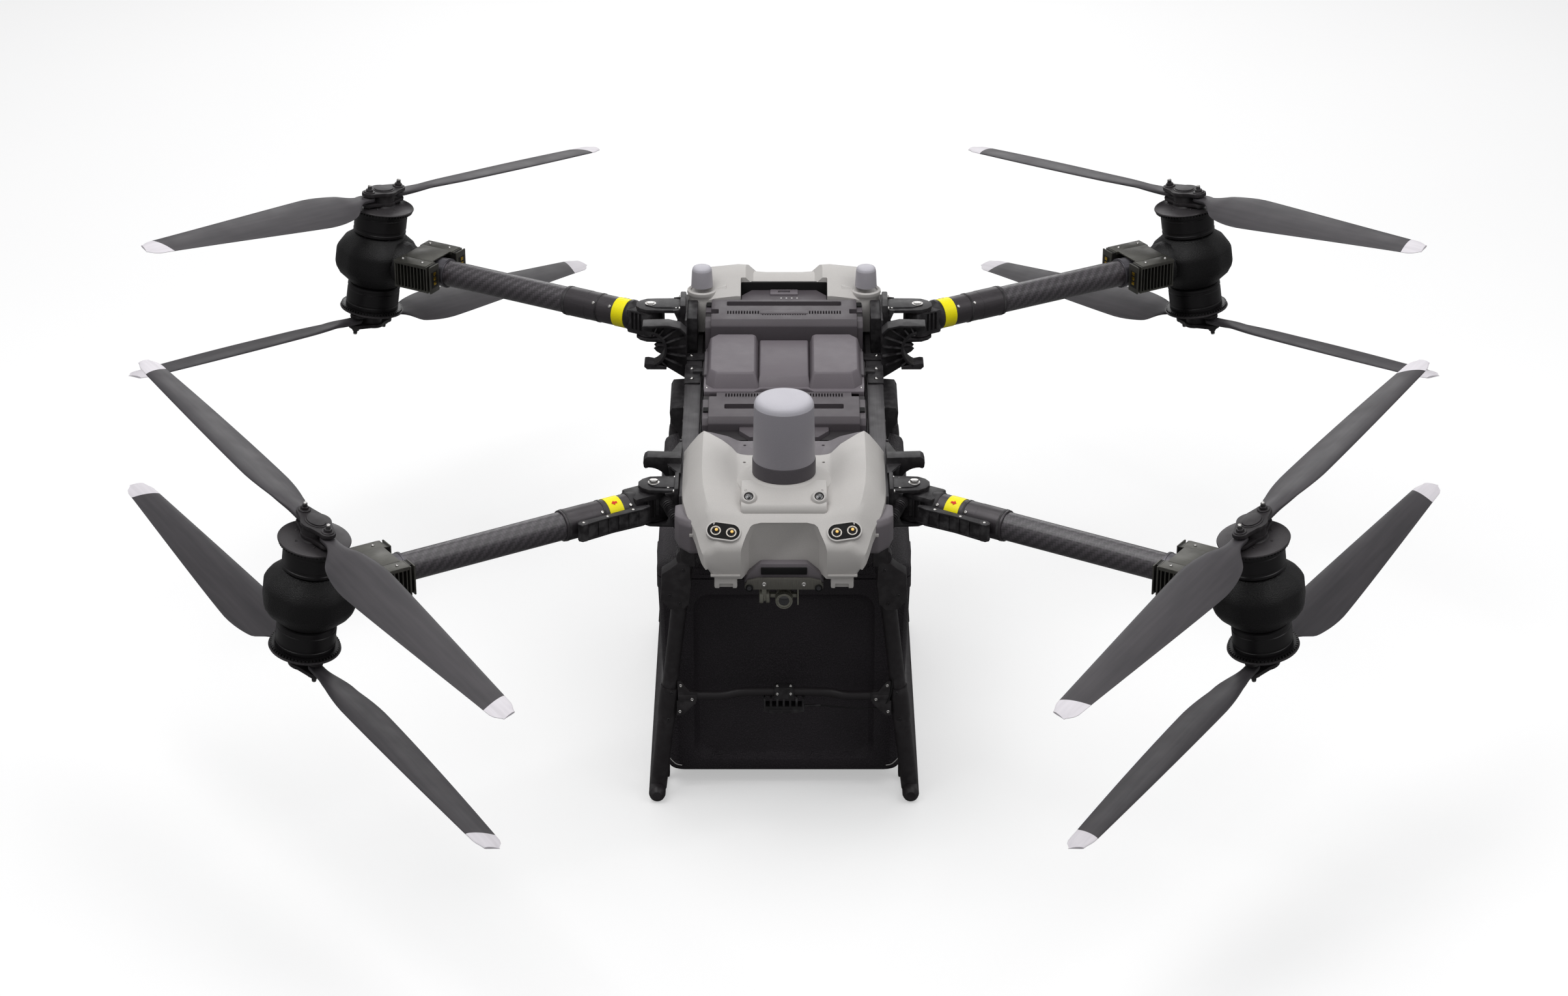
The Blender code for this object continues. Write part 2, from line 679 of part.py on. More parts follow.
def add_case(materials, root):
    outer = loft([case_ring(CASE_BOTTOM), case_ring(CASE_TOP)])
    cavity = box((-0.208, -0.3015, 0.150), (0.208, 0.2715, 0.600), 0.0)
    recess = loft([
        rounded_ring(0.174, 0.125, 0.500, 0.030, CASE_FRONT - 0.02, 2),
        rounded_ring(0.160, 0.139, 0.486, 0.026, CASE_FRONT + 0.014, 2),
    ])
    case = build("cargo_case", materials["case_foam"], [outer], [cavity, recess], smooth=False)
    case.parent = root
    lid = loft([case_ring(CASE_TOP + GAP), case_ring(LID_TOP - 0.008), case_ring(LID_TOP, 0.008)])
    piece = store("cargo_lid", lid, materials["case_foam"], smooth=False)
    piece.parent = root


def add_landing_gear(name, side, materials, root):
    """Front and rear leg tubes on one skid, with their brackets and two flat rubber treads."""

    def at(point):
        return Vector((side * point[0], point[1], point[2]))

    below_knee = (FRONT_KNEE[0] + 0.0005, FRONT_KNEE[1], FRONT_KNEE[2] - 0.006)
    meshes = [
        rod(at((SKID_X, -SKID_HALF, SKID_Z)), at((SKID_X, SKID_HALF, SKID_Z)), SKID_RADIUS, 14),
        rod(at(FRONT_KNEE), at(FRONT_FOOT), LEG_RADIUS, 12),
        rod(at(FRONT_HIP), at(below_knee), LEG_RADIUS + 0.001, 12),
        rod(at(REAR_HIP), at(REAR_FOOT), LEG_RADIUS, 12),
        side_box(side, RAIL_OUT + GAP, 0.226, 0.327, 0.363, 0.600, 0.648),
        side_box(side, 0.170, 0.2000, -0.412, -0.3815, 0.600, 0.655),
    ]
    for y in (-0.36, 0.30):
        low = (SKID_X - 0.010, SKID_X + 0.010, y, y + 0.06)
        meshes.append(side_box(side, *low, GROUND, GROUND + 0.012))
    gear = build(name, materials["black_plastic"], meshes)
    gear.parent = root


def add_crossbar(materials, root):
    """Brace between the front legs, with the downward sensor module at its middle."""
    y = CROSSBAR_Y
    z = CROSSBAR_Z
    bar = rod((-CROSSBAR_HALF, y, z), (CROSSBAR_HALF, y, z), 0.0085, 12)
    module = box((-0.040, y - 0.012, z - 0.034), (0.040, y + 0.012, z - 0.004), 0.002)
    clamp = box((-0.019, y - 0.012, z - 0.010), (0.019, y + 0.012, z + 0.014), 0.002)
    piece = build("sensor_crossbar", materials["black_plastic"], [bar, module, clamp])
    piece.parent = root


def main():
    clear_scene()
    materials = make_materials()
    root = bpy.data.objects.new("airframe_datum", None)
    bpy.context.scene.collection.objects.link(root)
    add_airframe(materials, root)
    add_front_cowl(materials, root)
    add_dome(materials, root)
    add_rear_cowl(materials, root)
    add_antenna("antenna_left", -1, materials, root)
    add_antenna("antenna_right", 1, materials, root)
    add_deck(materials, root)
    add_gimbal(materials, root)
    add_case(materials, root)
    add_landing_gear("landing_gear_left", -1, materials, root)
    add_landing_gear("landing_gear_right", 1, materials, root)
    add_crossbar(materials, root)
    for row, end in (("front", FRONT), ("rear", REAR)):
        for column, side in (("left", -1), ("right", 1)):
            add_arm(f"{row}_{column}", end, side, materials, root)
    root.location = (0.0, ORIGIN_SHIFT, -GROUND)


main()
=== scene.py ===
"""Looks of the folding cargo multirotor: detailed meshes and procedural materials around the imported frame."""

import json
import math

import bmesh
import bpy
from mathutils import Matrix, Vector


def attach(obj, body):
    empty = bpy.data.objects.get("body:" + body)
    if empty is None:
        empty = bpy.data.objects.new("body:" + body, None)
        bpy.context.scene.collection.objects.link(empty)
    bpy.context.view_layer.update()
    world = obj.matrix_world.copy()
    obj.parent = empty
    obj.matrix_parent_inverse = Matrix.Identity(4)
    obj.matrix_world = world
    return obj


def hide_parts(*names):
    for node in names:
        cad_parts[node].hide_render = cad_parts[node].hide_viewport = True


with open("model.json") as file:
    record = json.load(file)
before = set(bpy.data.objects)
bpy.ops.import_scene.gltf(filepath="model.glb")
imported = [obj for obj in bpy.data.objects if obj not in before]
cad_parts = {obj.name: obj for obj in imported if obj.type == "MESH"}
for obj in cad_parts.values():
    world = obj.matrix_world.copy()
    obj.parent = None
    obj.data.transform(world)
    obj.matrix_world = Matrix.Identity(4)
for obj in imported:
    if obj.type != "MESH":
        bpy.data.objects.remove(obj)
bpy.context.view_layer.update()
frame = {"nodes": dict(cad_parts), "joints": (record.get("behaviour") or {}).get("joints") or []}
JOINTS = {joint["name"]: joint for joint in frame["joints"]}
SPECULAR = 0.3  # specular level of the plastics and coatings
SMOOTH_BELOW = 34.0  # degrees: edges that turn less than this are shaded smooth
CORNERS = ("front_left", "front_right", "rear_left", "rear_right")
SHIFT = Vector((0.0, 0.0188, -0.08))  # from the aircraft's own datum to the frame's origin

# ---------------------------------------------------------------- node helpers


class Nodes:
    """A material's node tree with short calls to add and link nodes."""

    def __init__(self, name):
        self.material = bpy.data.materials.new(name)
        self.material.use_nodes = True
        self.tree = self.material.node_tree
        self.shader = self.tree.nodes["Principled BSDF"]

    def add(self, kind, inputs=None, **settings):
        node = self.tree.nodes.new(kind)
        for key, value in settings.items():
            setattr(node, key, value)
        for key, value in (inputs or {}).items():
            self.feed(node, key, value)
        return node

    def feed(self, node, key, value):
        socket = node.inputs[key]
        if isinstance(value, bpy.types.NodeSocket):
            self.tree.links.new(value, socket)
        else:
            socket.default_value = value

    def math(self, operation, a, b=0.0, clamp=False):
        node = self.add("ShaderNodeMath", {0: a, 1: b}, operation=operation)
        node.use_clamp = clamp
        return node.outputs[0]

    def ramp(self, value, low, high, out_low=0.0, out_high=1.0):
        fields = {"Value": value, "From Min": low, "From Max": high, "To Min": out_low, "To Max": out_high}
        return self.add("ShaderNodeMapRange", fields).outputs[0]

    def mix(self, factor, first, second):
        node = self.add("ShaderNodeMix", data_type="RGBA")
        self.feed(node, 0, factor)
        self.feed(node, 6, first)
        self.feed(node, 7, second)
        return node.outputs[2]

    def coords(self, kind="Object"):
        return self.add("ShaderNodeTexCoord").outputs[kind]

    def noise(self, scale, detail=2.0, rough=0.5, vector=None):
        fields = {"Vector": vector or self.coords(), "Scale": scale, "Detail": detail, "Roughness": rough}
        return self.add("ShaderNodeTexNoise", fields).outputs[0]

    def axes(self, vector):
        return self.add("ShaderNodeSeparateXYZ", {0: vector}).outputs

    def bump(self, height, strength, distance, normal=None):
        fields = {"Height": height, "Strength": strength, "Distance": distance}
        if normal:
            fields["Normal"] = normal
        return self.add("ShaderNodeBump", fields).outputs[0]

    def set(self, **inputs):
        for key, value in inputs.items():
            self.feed(self.shader, key.replace("_", " "), value)
        return self.material


def tone(colour, share=1.0):
    return (*[min(1.0, c * share) for c in colour], 1.0)


def srgb(text):
    """Linear colour from a six-digit sRGB code."""
    values = [int(text[i:i + 2], 16) / 255 for i in (0, 2, 4)]
    return tuple(v / 12.92 if v <= 0.04045 else ((v + 0.055) / 1.055) ** 2.4 for v in values)


def moulded(name, colour, rough, grain=900.0, depth=0.00012, strength=0.35, spread=0.1, metallic=0.0,
            wear=0.0):
    """Moulded or coated surface: fine grain bump, slow colour drift, uneven sheen and paler worn edges."""
    n = Nodes(name)
    drift = n.noise(9.0, 3.0)
    fine = n.noise(grain, 2.0, 0.6)
    shade = n.mix(n.ramp(drift, 0.3, 0.7), tone(colour, 1 - spread), tone(colour, 1 + spread))
    speck = n.ramp(fine, 0.35, 0.65, 0.94, 1.06)
    colour_out = n.add("ShaderNodeVectorMath", {0: shade, 1: speck}, operation="MULTIPLY").outputs[0]
    if wear:
        point = n.add("ShaderNodeNewGeometry").outputs["Pointiness"]
        rub = n.math("MULTIPLY", n.ramp(point, 0.52, 0.6), n.ramp(n.noise(60.0, 4.0), 0.42, 0.62))
        edge = n.math("MULTIPLY", rub, wear, clamp=True)
        colour_out = n.mix(edge, colour_out, tone([min(1.0, 0.1 + 2.2 * c) for c in colour]))
    gloss = n.ramp(n.noise(35.0, 3.0), 0.3, 0.7, rough - 0.05, rough + 0.06)
    normal = n.bump(fine, strength, depth)
    n.set(Specular_IOR_Level=SPECULAR)
    return n.set(Base_Color=colour_out, Roughness=gloss, Metallic=metallic, Normal=normal)


def pebbled(name, colour, rough, cell, depth, strength):
    """Coarse moulded texture of rounded pebbles, with a finer grain between them."""
    n = Nodes(name)
    at = n.coords()
    warp = n.add("ShaderNodeTexNoise", {"Vector": at, "Scale": cell * 0.7}).outputs[1]
    moved = n.add("ShaderNodeMix", data_type="VECTOR")
    n.feed(moved, 0, 0.0012 * 60 / cell)
    n.feed(moved, 4, at)
    n.feed(moved, 5, warp)
    cells = n.add("ShaderNodeTexVoronoi", {"Vector": moved.outputs[1], "Scale": cell, "Randomness": 1.0})
    dome = n.ramp(cells.outputs["Distance"], 0.0, 0.75, 1.0, 0.0)
    grain = n.noise(cell * 2.6, 3.0, 0.6)
    height = n.math("ADD", dome, n.math("MULTIPLY", grain, 0.55))
    drift = n.noise(7.0, 2.0)
    shade = n.mix(n.ramp(drift, 0.3, 0.7), tone(colour, 0.8), tone(colour, 1.25))
    # Painted highlight: the raised tops of the pebbles are mixed towards twice the base colour, as if lit from
    # above.
    pebble_top_highlight = n.mix(n.ramp(height, 0.7, 1.35), shade, tone(colour, 2.0))
    gloss = n.ramp(grain, 0.3, 0.7, rough - 0.07, rough + 0.08)
    n.set(Specular_IOR_Level=SPECULAR)
    return n.set(Base_Color=pebble_top_highlight, Roughness=gloss, Normal=n.bump(height, strength, depth))


def brushed(name, colour, rough, metallic=1.0, scratch=(40.0, 40.0, 900.0)):
    """Machined or coated metal with fine directional marks and smudged gloss."""
    n = Nodes(name)
    stretched = n.add("ShaderNodeVectorMath", {0: n.coords(), 1: scratch}, operation="MULTIPLY").outputs[0]
    lines = n.noise(1.0, 3.0, 0.6, stretched)
    smudge = n.noise(30.0, 3.0)
    shade = n.mix(n.ramp(lines, 0.3, 0.7), tone(colour, 0.82), tone(colour, 1.18))
    gloss = n.ramp(smudge, 0.3, 0.7, rough - 0.06, rough + 0.1)
    return n.set(Base_Color=shade, Roughness=gloss, Metallic=metallic, Normal=n.bump(lines, 0.15, 0.00008))


def carbon_twill(name):
    """Woven 2x2 twill under clear resin. The UV map is in tow widths, around and along the tube."""
    n = Nodes(name)
    u, v, _ = n.axes(n.coords("UV"))
    cell_u = n.math("FLOOR", u)
    cell_v = n.math("FLOOR", v)
    step = n.math("MODULO", n.math("ADD", n.math("ADD", cell_u, cell_v), 400.0), 4.0)
    over = n.math("LESS_THAN", step, 1.5)
    hill_u = n.math("ABSOLUTE", n.math("SUBTRACT", n.math("FRACT", u), 0.5))
    hill_v = n.math("ABSOLUTE", n.math("SUBTRACT", n.math("FRACT", v), 0.5))
    side = n.add("ShaderNodeMix", {0: over, 2: hill_u, 3: hill_v}).outputs[0]
    crown = n.math("SUBTRACT", 1.0, n.math("MULTIPLY", n.math("MULTIPLY", side, side), 3.2))
    fibre_u = n.math("SINE", n.math("MULTIPLY", u, 60.0))
    fibre_v = n.math("SINE", n.math("MULTIPLY", v, 60.0))
    fibres = n.add("ShaderNodeMix", {0: over, 2: fibre_u, 3: fibre_v}).outputs[0]
    height = n.math("ADD", crown, n.math("MULTIPLY", fibres, 0.06))
    lit = n.math("ADD", n.math("MULTIPLY", over, 0.55), n.math("MULTIPLY", crown, 0.45))
    shade = n.mix(lit, tone(srgb("1b181b")), tone(srgb("484348")))
    cloud = n.noise(14.0, 3.0)
    gloss = n.ramp(cloud, 0.3, 0.7, 0.34, 0.46)
    n.set(Coat_Weight=0.35, Coat_Roughness=0.22)
    return n.set(Base_Color=shade, Roughness=gloss, Normal=n.bump(height, 0.55, 0.00035))


def blade_finish(name):
    """Dark moulded composite with a pale tip. Local X runs along the blade, in metres."""
    n = Nodes(name)
    x, y, _ = n.axes(n.coords())
    tip = n.ramp(n.math("ADD", x, n.math("MULTIPLY", y, 0.32)), 0.5865, 0.5872)
    stretched = n.add("ShaderNodeVectorMath", {0: n.coords(), 1: (6.0, 90.0, 90.0)},
        operation="MULTIPLY").outputs[0]
    streak = n.noise(1.0, 3.0, 0.5, stretched)
    dark = n.mix(n.ramp(streak, 0.3, 0.7), tone(srgb("3a383b")), tone(srgb("454245")))
    pale = n.mix(n.ramp(streak, 0.3, 0.7), tone(srgb("d2ced3")), tone(srgb("e2dee3")))
    gloss = n.ramp(n.noise(20.0, 3.0), 0.3, 0.7, 0.42, 0.52)
    fine = n.noise(700.0, 2.0, 0.6)
    n.set(Specular_IOR_Level=SPECULAR)
    return n.set(Base_Color=n.mix(tip, dark, pale), Roughness=gloss, Normal=n.bump(fine, 0.18, 0.0001))


def glowing(name, colour, strength):
    n = Nodes(name)
    core = n.ramp(n.noise(400.0, 2.0), 0.3, 0.7, 0.75, 1.0)
    shade = n.add("ShaderNodeVectorMath", {0: tone(colour)[:3], 1: core}, operation="MULTIPLY").outputs[0]
    return n.set(Base_Color=shade, Emission_Color=shade, Emission_Strength=strength, Roughness=0.3)


def lens_glass(name):
    """Dark coated lens, paler towards its rim by viewing angle: a painted reflection."""
    n = Nodes(name)
    # Painted reflection: the base colour grows paler where the lens is seen at a grazing angle.
    facing = n.add("ShaderNodeLayerWeight", {0: 0.35}).outputs["Facing"]
    shade = n.mix(facing, tone((0.004, 0.004, 0.006)), tone((0.03, 0.03, 0.045)))
    gloss = n.ramp(n.noise(120.0, 2.0), 0.3, 0.7, 0.05, 0.1)
    return n.set(Base_Color=shade, Roughness=gloss, Coat_Weight=1.0, Coat_Roughness=0.03)


MATERIALS = {
    "black": moulded("black_nylon", srgb("211f21"), 0.46, 700.0, 0.00015, 0.4, 0.12, wear=0.35),
    "gear": moulded("gear_nylon", srgb("272426"), 0.42, 500.0, 0.00012, 0.35, 0.1, wear=0.25),
    "rail": brushed("rail_anodised", srgb("4a484a"), 0.42, 0.55, (500.0, 12.0, 500.0)),
    "bell": brushed("bell_anodised", srgb("171517"), 0.36, 0.35, (60.0, 60.0, 1400.0)),
    "flange": brushed("flange_anodised", srgb("3a3739"), 0.42, 0.35, (500.0, 500.0, 60.0)),
    "clamp": moulded("clamp_coat", srgb("282527"), 0.44, 800.0, 0.0001, 0.3, 0.08, wear=0.4),
    "pod": pebbled("pod_coat", srgb("0e0d0e"), 0.42, 480.0, 0.0007, 0.75),
    "carbon": carbon_twill("carbon_twill"),
    "sleeve": brushed("sleeve_satin", srgb("3b373a"), 0.36, 0.35, (40.0, 900.0, 900.0)),
    "collar": brushed("collar_satin", srgb("57555a"), 0.34, 0.65, (40.0, 900.0, 900.0)),
    "esc": brushed("esc_anodised", srgb("565550"), 0.38, 0.75, (60.0, 900.0, 60.0)),
    "esc_dark": brushed("esc_shadow", srgb("1f1e1c"), 0.5, 0.5),
    "gold": brushed("gold_contact", srgb("c9a53a"), 0.28, 1.0),
    "steel": brushed("bright_steel", srgb("c4c2c0"), 0.22, 1.0),
    "blade": blade_finish("blade_composite"),
    "cowl": moulded("cowl_shell", srgb("bbb8b5"), 0.5, 1100.0, 0.00006, 0.25, 0.025),
    "trim": moulded("trim_shell", srgb("6b666a"), 0.5, 900.0, 0.00008, 0.3, 0.04),
    "battery": moulded("battery_shell", srgb("524d51"), 0.48, 900.0, 0.0001, 0.35, 0.05),
    # Darker copy of the battery grey, put in the slots, side pockets and gaps of the batteries and pack:
    # painted shade.
    "battery_dark": moulded("battery_painted_shade", srgb("2b282a"), 0.6, 700.0, 0.0001, 0.3, 0.08),
    "pack": moulded("pack_cover", srgb("676166"), 0.46, 900.0, 0.00008, 0.3, 0.04),
    "dome": moulded("radome_shell", srgb("918e94"), 0.42, 1300.0, 0.00004, 0.2, 0.02),
    "antenna": moulded("antenna_shell", srgb("a5a2a8"), 0.44, 1300.0, 0.00004, 0.2, 0.015),
    # Paler copy of the radome grey for the top caps of the radome and antenna covers: a painted highlight where
    # light from above falls.
    "painted_top_highlight": moulded("radome_cap_painted_highlight", srgb("b9b7be"), 0.44, 1300.0, 0.00004, 0.2, 0.015),
    "dome_band": moulded("radome_band", srgb("4a464a"), 0.44, 1000.0, 0.00006, 0.25, 0.04),
    "case": pebbled("case_foam", srgb("2a262a"), 0.52, 330.0, 0.0011, 0.85),
    "camera": brushed("camera_satin", srgb("8b8a80"), 0.36, 0.55, (60.0, 60.0, 700.0)),
    "plate": brushed("plate_satin", srgb("66645e"), 0.4, 0.5, (700.0, 60.0, 60.0)),
    "glass": lens_glass("lens_glass"),
    "yellow": moulded("marker_yellow", srgb("f7ea00"), 0.4, 600.0, 0.00004, 0.15, 0.03),
    "red": moulded("marker_red", srgb("d8231c"), 0.42, 600.0, 0.00004, 0.15, 0.03),
    "rubber": moulded("tread_rubber", srgb("1a191a"), 0.72, 500.0, 0.0003, 0.6, 0.1),
    "hole": moulded("slot_shadow", srgb("0c0b0c"), 0.8, 500.0, 0.0001, 0.2, 0.1),
    "lamp": glowing("lamp_core", srgb("f1c066"), 0.55),
    # Painted reflection: the steel reflector is made to glow, though it is no lamp.
    "reflector": glowing("reflector_painted_glow", srgb("cfc9c0"), 0.3),
    "led": glowing("led_dot", srgb("e8e6e4"), 0.25),
}

# ---------------------------------------------------------------- mesh helpers


def outward(mesh):
    bmesh.ops.recalc_face_normals(mesh, faces=mesh.faces)
    if mesh.calc_volume(signed=True) < 0:
        bmesh.ops.reverse_faces(mesh, faces=mesh.faces)
    return mesh


def loft(rings, closed=True):
    """Skin through rings of equal point count, capped at both ends."""
    mesh = bmesh.new()
    rows = [[mesh.verts.new(point) for point in ring] for ring in rings]
    count = len(rows[0])
    for first, second in zip(rows, rows[1:]):
        for i in range(count):
            j = (i + 1) % count
            mesh.faces.new((first[i], first[j], second[j], second[i]))
    if closed:
        mesh.faces.new(rows[0][::-1])
        mesh.faces.new(rows[-1])
    return outward(mesh)


def circle(radius, z, segments=32, turn=0.0):
    points = []
    for i in range(segments):
        angle = turn + 2 * math.pi * i / segments
        points.append(Vector((radius * math.cos(angle), radius * math.sin(angle), z)))
    return points


def lathe(profile, segments=48):
    """Turned body about Z from (radius, height) pairs, bottom to top."""
    return loft([circle(radius, height, segments) for radius, height in profile])


def box(low, high, bevel=0.0, segments=2):
    low = Vector(low)
    high = Vector(high)
    mesh = bmesh.new()
    bmesh.ops.create_cube(mesh, size=1.0)
    mesh.transform(Matrix.Translation((low + high) / 2) @ Matrix.Diagonal((*(high - low), 1.0)))
    if bevel:
        bmesh.ops.bevel(mesh, geom=list(mesh.edges), offset=bevel, segments=segments, affect="EDGES",
            profile=0.6)
    return mesh


def side_box(side, inner, outer, y0, y1, z0, z1, bevel=0.0):
    x0, x1 = sorted((side * inner, side * outer))
    return box((x0, y0, z0), (x1, y1, z1), bevel)


def soften(mesh, width, segments=2):
    """Rounds the edges that meet at more than a slight angle."""
    edges = [e for e in mesh.edges if e.is_manifold and e.calc_face_angle(0.0) > 0.5]
    bmesh.ops.bevel(mesh, geom=edges, offset=width, segments=segments, affect="EDGES", profile=0.6,
                    clamp_overlap=True)
    return mesh


def prism(outline, low, high, axis="Z", bevel=0.0):
    """Straight extrusion of a closed outline along the named axis."""
    place = {
        "X": lambda u, v, w: Vector((w, u, v)),
        "Y": lambda u, v, w: Vector((u, w, v)),
        "Z": lambda u, v, w: Vector((u, v, w)),
    }[axis]
    mesh = loft([[place(u, v, w) for u, v in outline] for w in (low, high)])
    return soften(mesh, bevel) if bevel else mesh


def aim(direction, up=(0.01, 0.02, 1.0)):
    """Rotation whose Z is the direction."""
    z_axis = Vector(direction).normalized()
    hint = Vector(up)
    if abs(z_axis.dot(hint.normalized())) > 0.97:
        hint = Vector((1.0, 0.0, 0.0))
    x_axis = (hint - z_axis * z_axis.dot(hint)).normalized()
    return Matrix((x_axis, z_axis.cross(x_axis), z_axis)).transposed().to_4x4()


def rod(start, end, radius, segments=24, bevel=0.0):
    start = Vector(start)
    end = Vector(end)
    length = (end - start).length
    edge = min(bevel, radius * 0.6)
    profile = [(radius, 0.0), (radius, length)]
    if edge:
        profile = [(radius - edge, 0.0), (radius, edge), (radius, length - edge), (radius - edge, length)]
    mesh = lathe(profile, segments)
    mesh.transform(Matrix.Translation(start) @ aim(end - start))
    return mesh


def along_path(points, radius, segments=16):
    """Bar of varying radius along a path. radius is a number or a function of the share of the path."""
    points = [Vector(p) for p in points]
    rings = []
    up = Vector((0.01, 0.02, 1.0))
    for i, point in enumerate(points):
        before = points[max(0, i - 1)]
        after = points[min(len(points) - 1, i + 1)]
        turn = aim(after - before, up)
        up = (turn @ Vector((1, 0, 0, 0))).to_3d()
        size = radius(i / (len(points) - 1)) if callable(radius) else radius
        rings.append([point + turn.to_3x3() @ p for p in circle(size, 0.0, segments)])
    return loft(rings)


def curve_points(controls, steps=8):
    """Smooth path through control points."""
    controls = [Vector(c) for c in controls]
    padded = [controls[0]] + controls + [controls[-1]]
    points = []
    for i in range(1, len(padded) - 2):
        p0, p1, p2, p3 = padded[i - 1:i + 3]
        for k in range(steps):
            t = k / steps
            points.append(0.5 * (2 * p1 + (p2 - p0) * t + (2 * p0 - 5 * p1 + 4 * p2 - p3) * t * t
                                 + (3 * p1 - p0 - 3 * p2 + p3) * t ** 3))
    points.append(controls[-1])
    return points


def screw(radius, height):
    """Button-head screw about Z, standing on z = 0, with a socket."""
    profile = [(radius, 0.0), (radius, height * 0.45), (radius * 0.86, height * 0.82),
        (radius * 0.62, height)]
    mesh = lathe(profile, 20)
    top = max(mesh.faces, key=lambda f: f.calc_center_median().z)
    bmesh.ops.inset_individual(mesh, faces=[top], thickness=radius * 0.22)
    bmesh.ops.translate(mesh, verts=list(top.verts), vec=(0, 0, -height * 0.5))
    return mesh


def moved(mesh, place):
    mesh.transform(place)
    return mesh


def at(x, y, z):
    return Matrix.Translation((x, y, z))


def bolt(radius, height, x, y, z, facing=None):
    """Screw that stands at a point, upright or facing a direction."""
    place = at(x, y, z) if facing is None else at(x, y, z) @ aim(facing)
    return moved(screw(radius, height), place)


def polar(radius, degrees):
    """Point (x, y) at a radius and an angle in degrees."""
    angle = math.radians(degrees)
    return (radius * math.cos(angle), radius * math.sin(angle))


def ellipse(half_x, half_y, count):
    """Points of an ellipse, the first at +X."""
    turns = [2 * math.pi * i / count for i in range(count)]
    return [(half_x * math.cos(turn), half_y * math.sin(turn)) for turn in turns]


def make(name, body, parts, place=None, stands_for=(), angle=SMOOTH_BELOW):
    """One piece from (mesh, material name) parts. place puts a piece that is modelled in its own frame."""
    data = bpy.data.meshes.new(name)
    names = []
    whole = bmesh.new()
    for mesh, material in parts:
        if material not in names:
            names.append(material)
        for face in mesh.faces:
            face.material_index = names.index(material)
        part = bpy.data.meshes.new("part")
        mesh.to_mesh(part)
        mesh.free()
        whole.from_mesh(part)
        bpy.data.meshes.remove(part)
    whole.to_mesh(data)
    whole.free()
    for material in names:
        data.materials.append(MATERIALS[material])
    data.shade_smooth()
    data.set_sharp_from_angle(angle=math.radians(angle))
    piece = bpy.data.objects.new(name, data)
    bpy.context.scene.collection.objects.link(piece)
    if place is not None:
        piece.matrix_world = place
    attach(piece, body)
    if stands_for:
        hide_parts(*stands_for)
    return piece


def cut(mesh, cutters, operation="DIFFERENCE"):
    """The mesh with each cutter taken away, or joined to it."""
    base = bpy.data.meshes.new("cut_base")
    mesh.to_mesh(base)
    mesh.free()
    piece = bpy.data.objects.new("cut_base", base)
    bpy.context.scene.collection.objects.link(piece)
    tools = []
    for cutter in cutters:
        data = bpy.data.meshes.new("cutter")
        cutter.to_mesh(data)
        cutter.free()
        tool = bpy.data.objects.new("cutter", data)
        bpy.context.scene.collection.objects.link(tool)
        modifier = piece.modifiers.new("cut", "BOOLEAN")
        modifier.operation = operation
        modifier.solver = "EXACT"
        modifier.object = tool
        tools.append(tool)
    bpy.context.view_layer.update()
    graph = bpy.context.evaluated_depsgraph_get()
    result = bmesh.new()
    result.from_object(piece, graph)
    for old in (piece, *tools):
        data = old.data
        bpy.data.objects.remove(old)
        bpy.data.meshes.remove(data)
    return result


def joint_at(name):
    return Vector(JOINTS[name]["pos_m"])

# ---------------------------------------------------------------- rotors

ROTOR_RADIUS = 0.6858
BLADE_PIN = 0.043
BLADE_PLANE = 0.138
BLADE_CHORD = 0.1
BLADE_TIP_CHORD = 0.046
BLADE_ROOT_CHORD = 0.026
BLADE_REACH = ROTOR_RADIUS - BLADE_PIN - 0.01  # from the pin to the tip
TWIST_START = 0.045  # distance from the pin at which the blade begins to untwist
ROOT_PITCH = 20.0  # degrees, at the root
PITCH_LOSS = 14.0  # degrees, from root to tip
BLADE_WIDEST = 0.3
BLADE_ADVANCE = 0.006
FLANGE_RADIUS = 0.0675
UPPER_SPIN = {"front": -1, "rear": 1}  # of the right-hand side's upper rotor, seen from above


def blade_chord(radius):
    """Slender root, widest near a third of the radius, tapering to the tip."""
    share = radius / ROTOR_RADIUS
    if share < BLADE_WIDEST:
        swell = math.sin(math.pi / 2 * max(0.0, share - 0.05) / (BLADE_WIDEST - 0.05)) ** 1.2
        return BLADE_ROOT_CHORD + (BLADE_CHORD - BLADE_ROOT_CHORD) * swell
    taper = (share - BLADE_WIDEST) / (1 - BLADE_WIDEST)
    return BLADE_CHORD - (BLADE_CHORD - BLADE_TIP_CHORD) * taper ** 1.15


def smooth(value, low, high):
    t = min(1.0, max(0.0, (value - low) / (high - low)))
    return t * t * (3 - 2 * t)


def signed_power(value, power):
    return math.copysign(abs(value) ** power, value)


def root_section(width, thickness, turn):
    """Rounded bar section that the blade has at its pin."""
    return (width / 2 * signed_power(math.cos(turn), 0.45), thickness / 2 * signed_power(math.sin(turn), 0.5))


def wing_section(chord, thickness, turn):
    """Cambered aerofoil section, nose at +Y."""
    along = (1 - math.cos(turn)) / 2
    half = 5 * thickness * (0.2969 * math.sqrt(along) - 0.126 * along - 0.3516 * along ** 2
                            + 0.2843 * along ** 3 - 0.1015 * along ** 4)
    half = max(half, 0.0005)
    camber = 0.16 * chord * along * (1 - along)
    return (chord * (0.34 - along), camber + (half if math.sin(turn) >= 0 else -half))


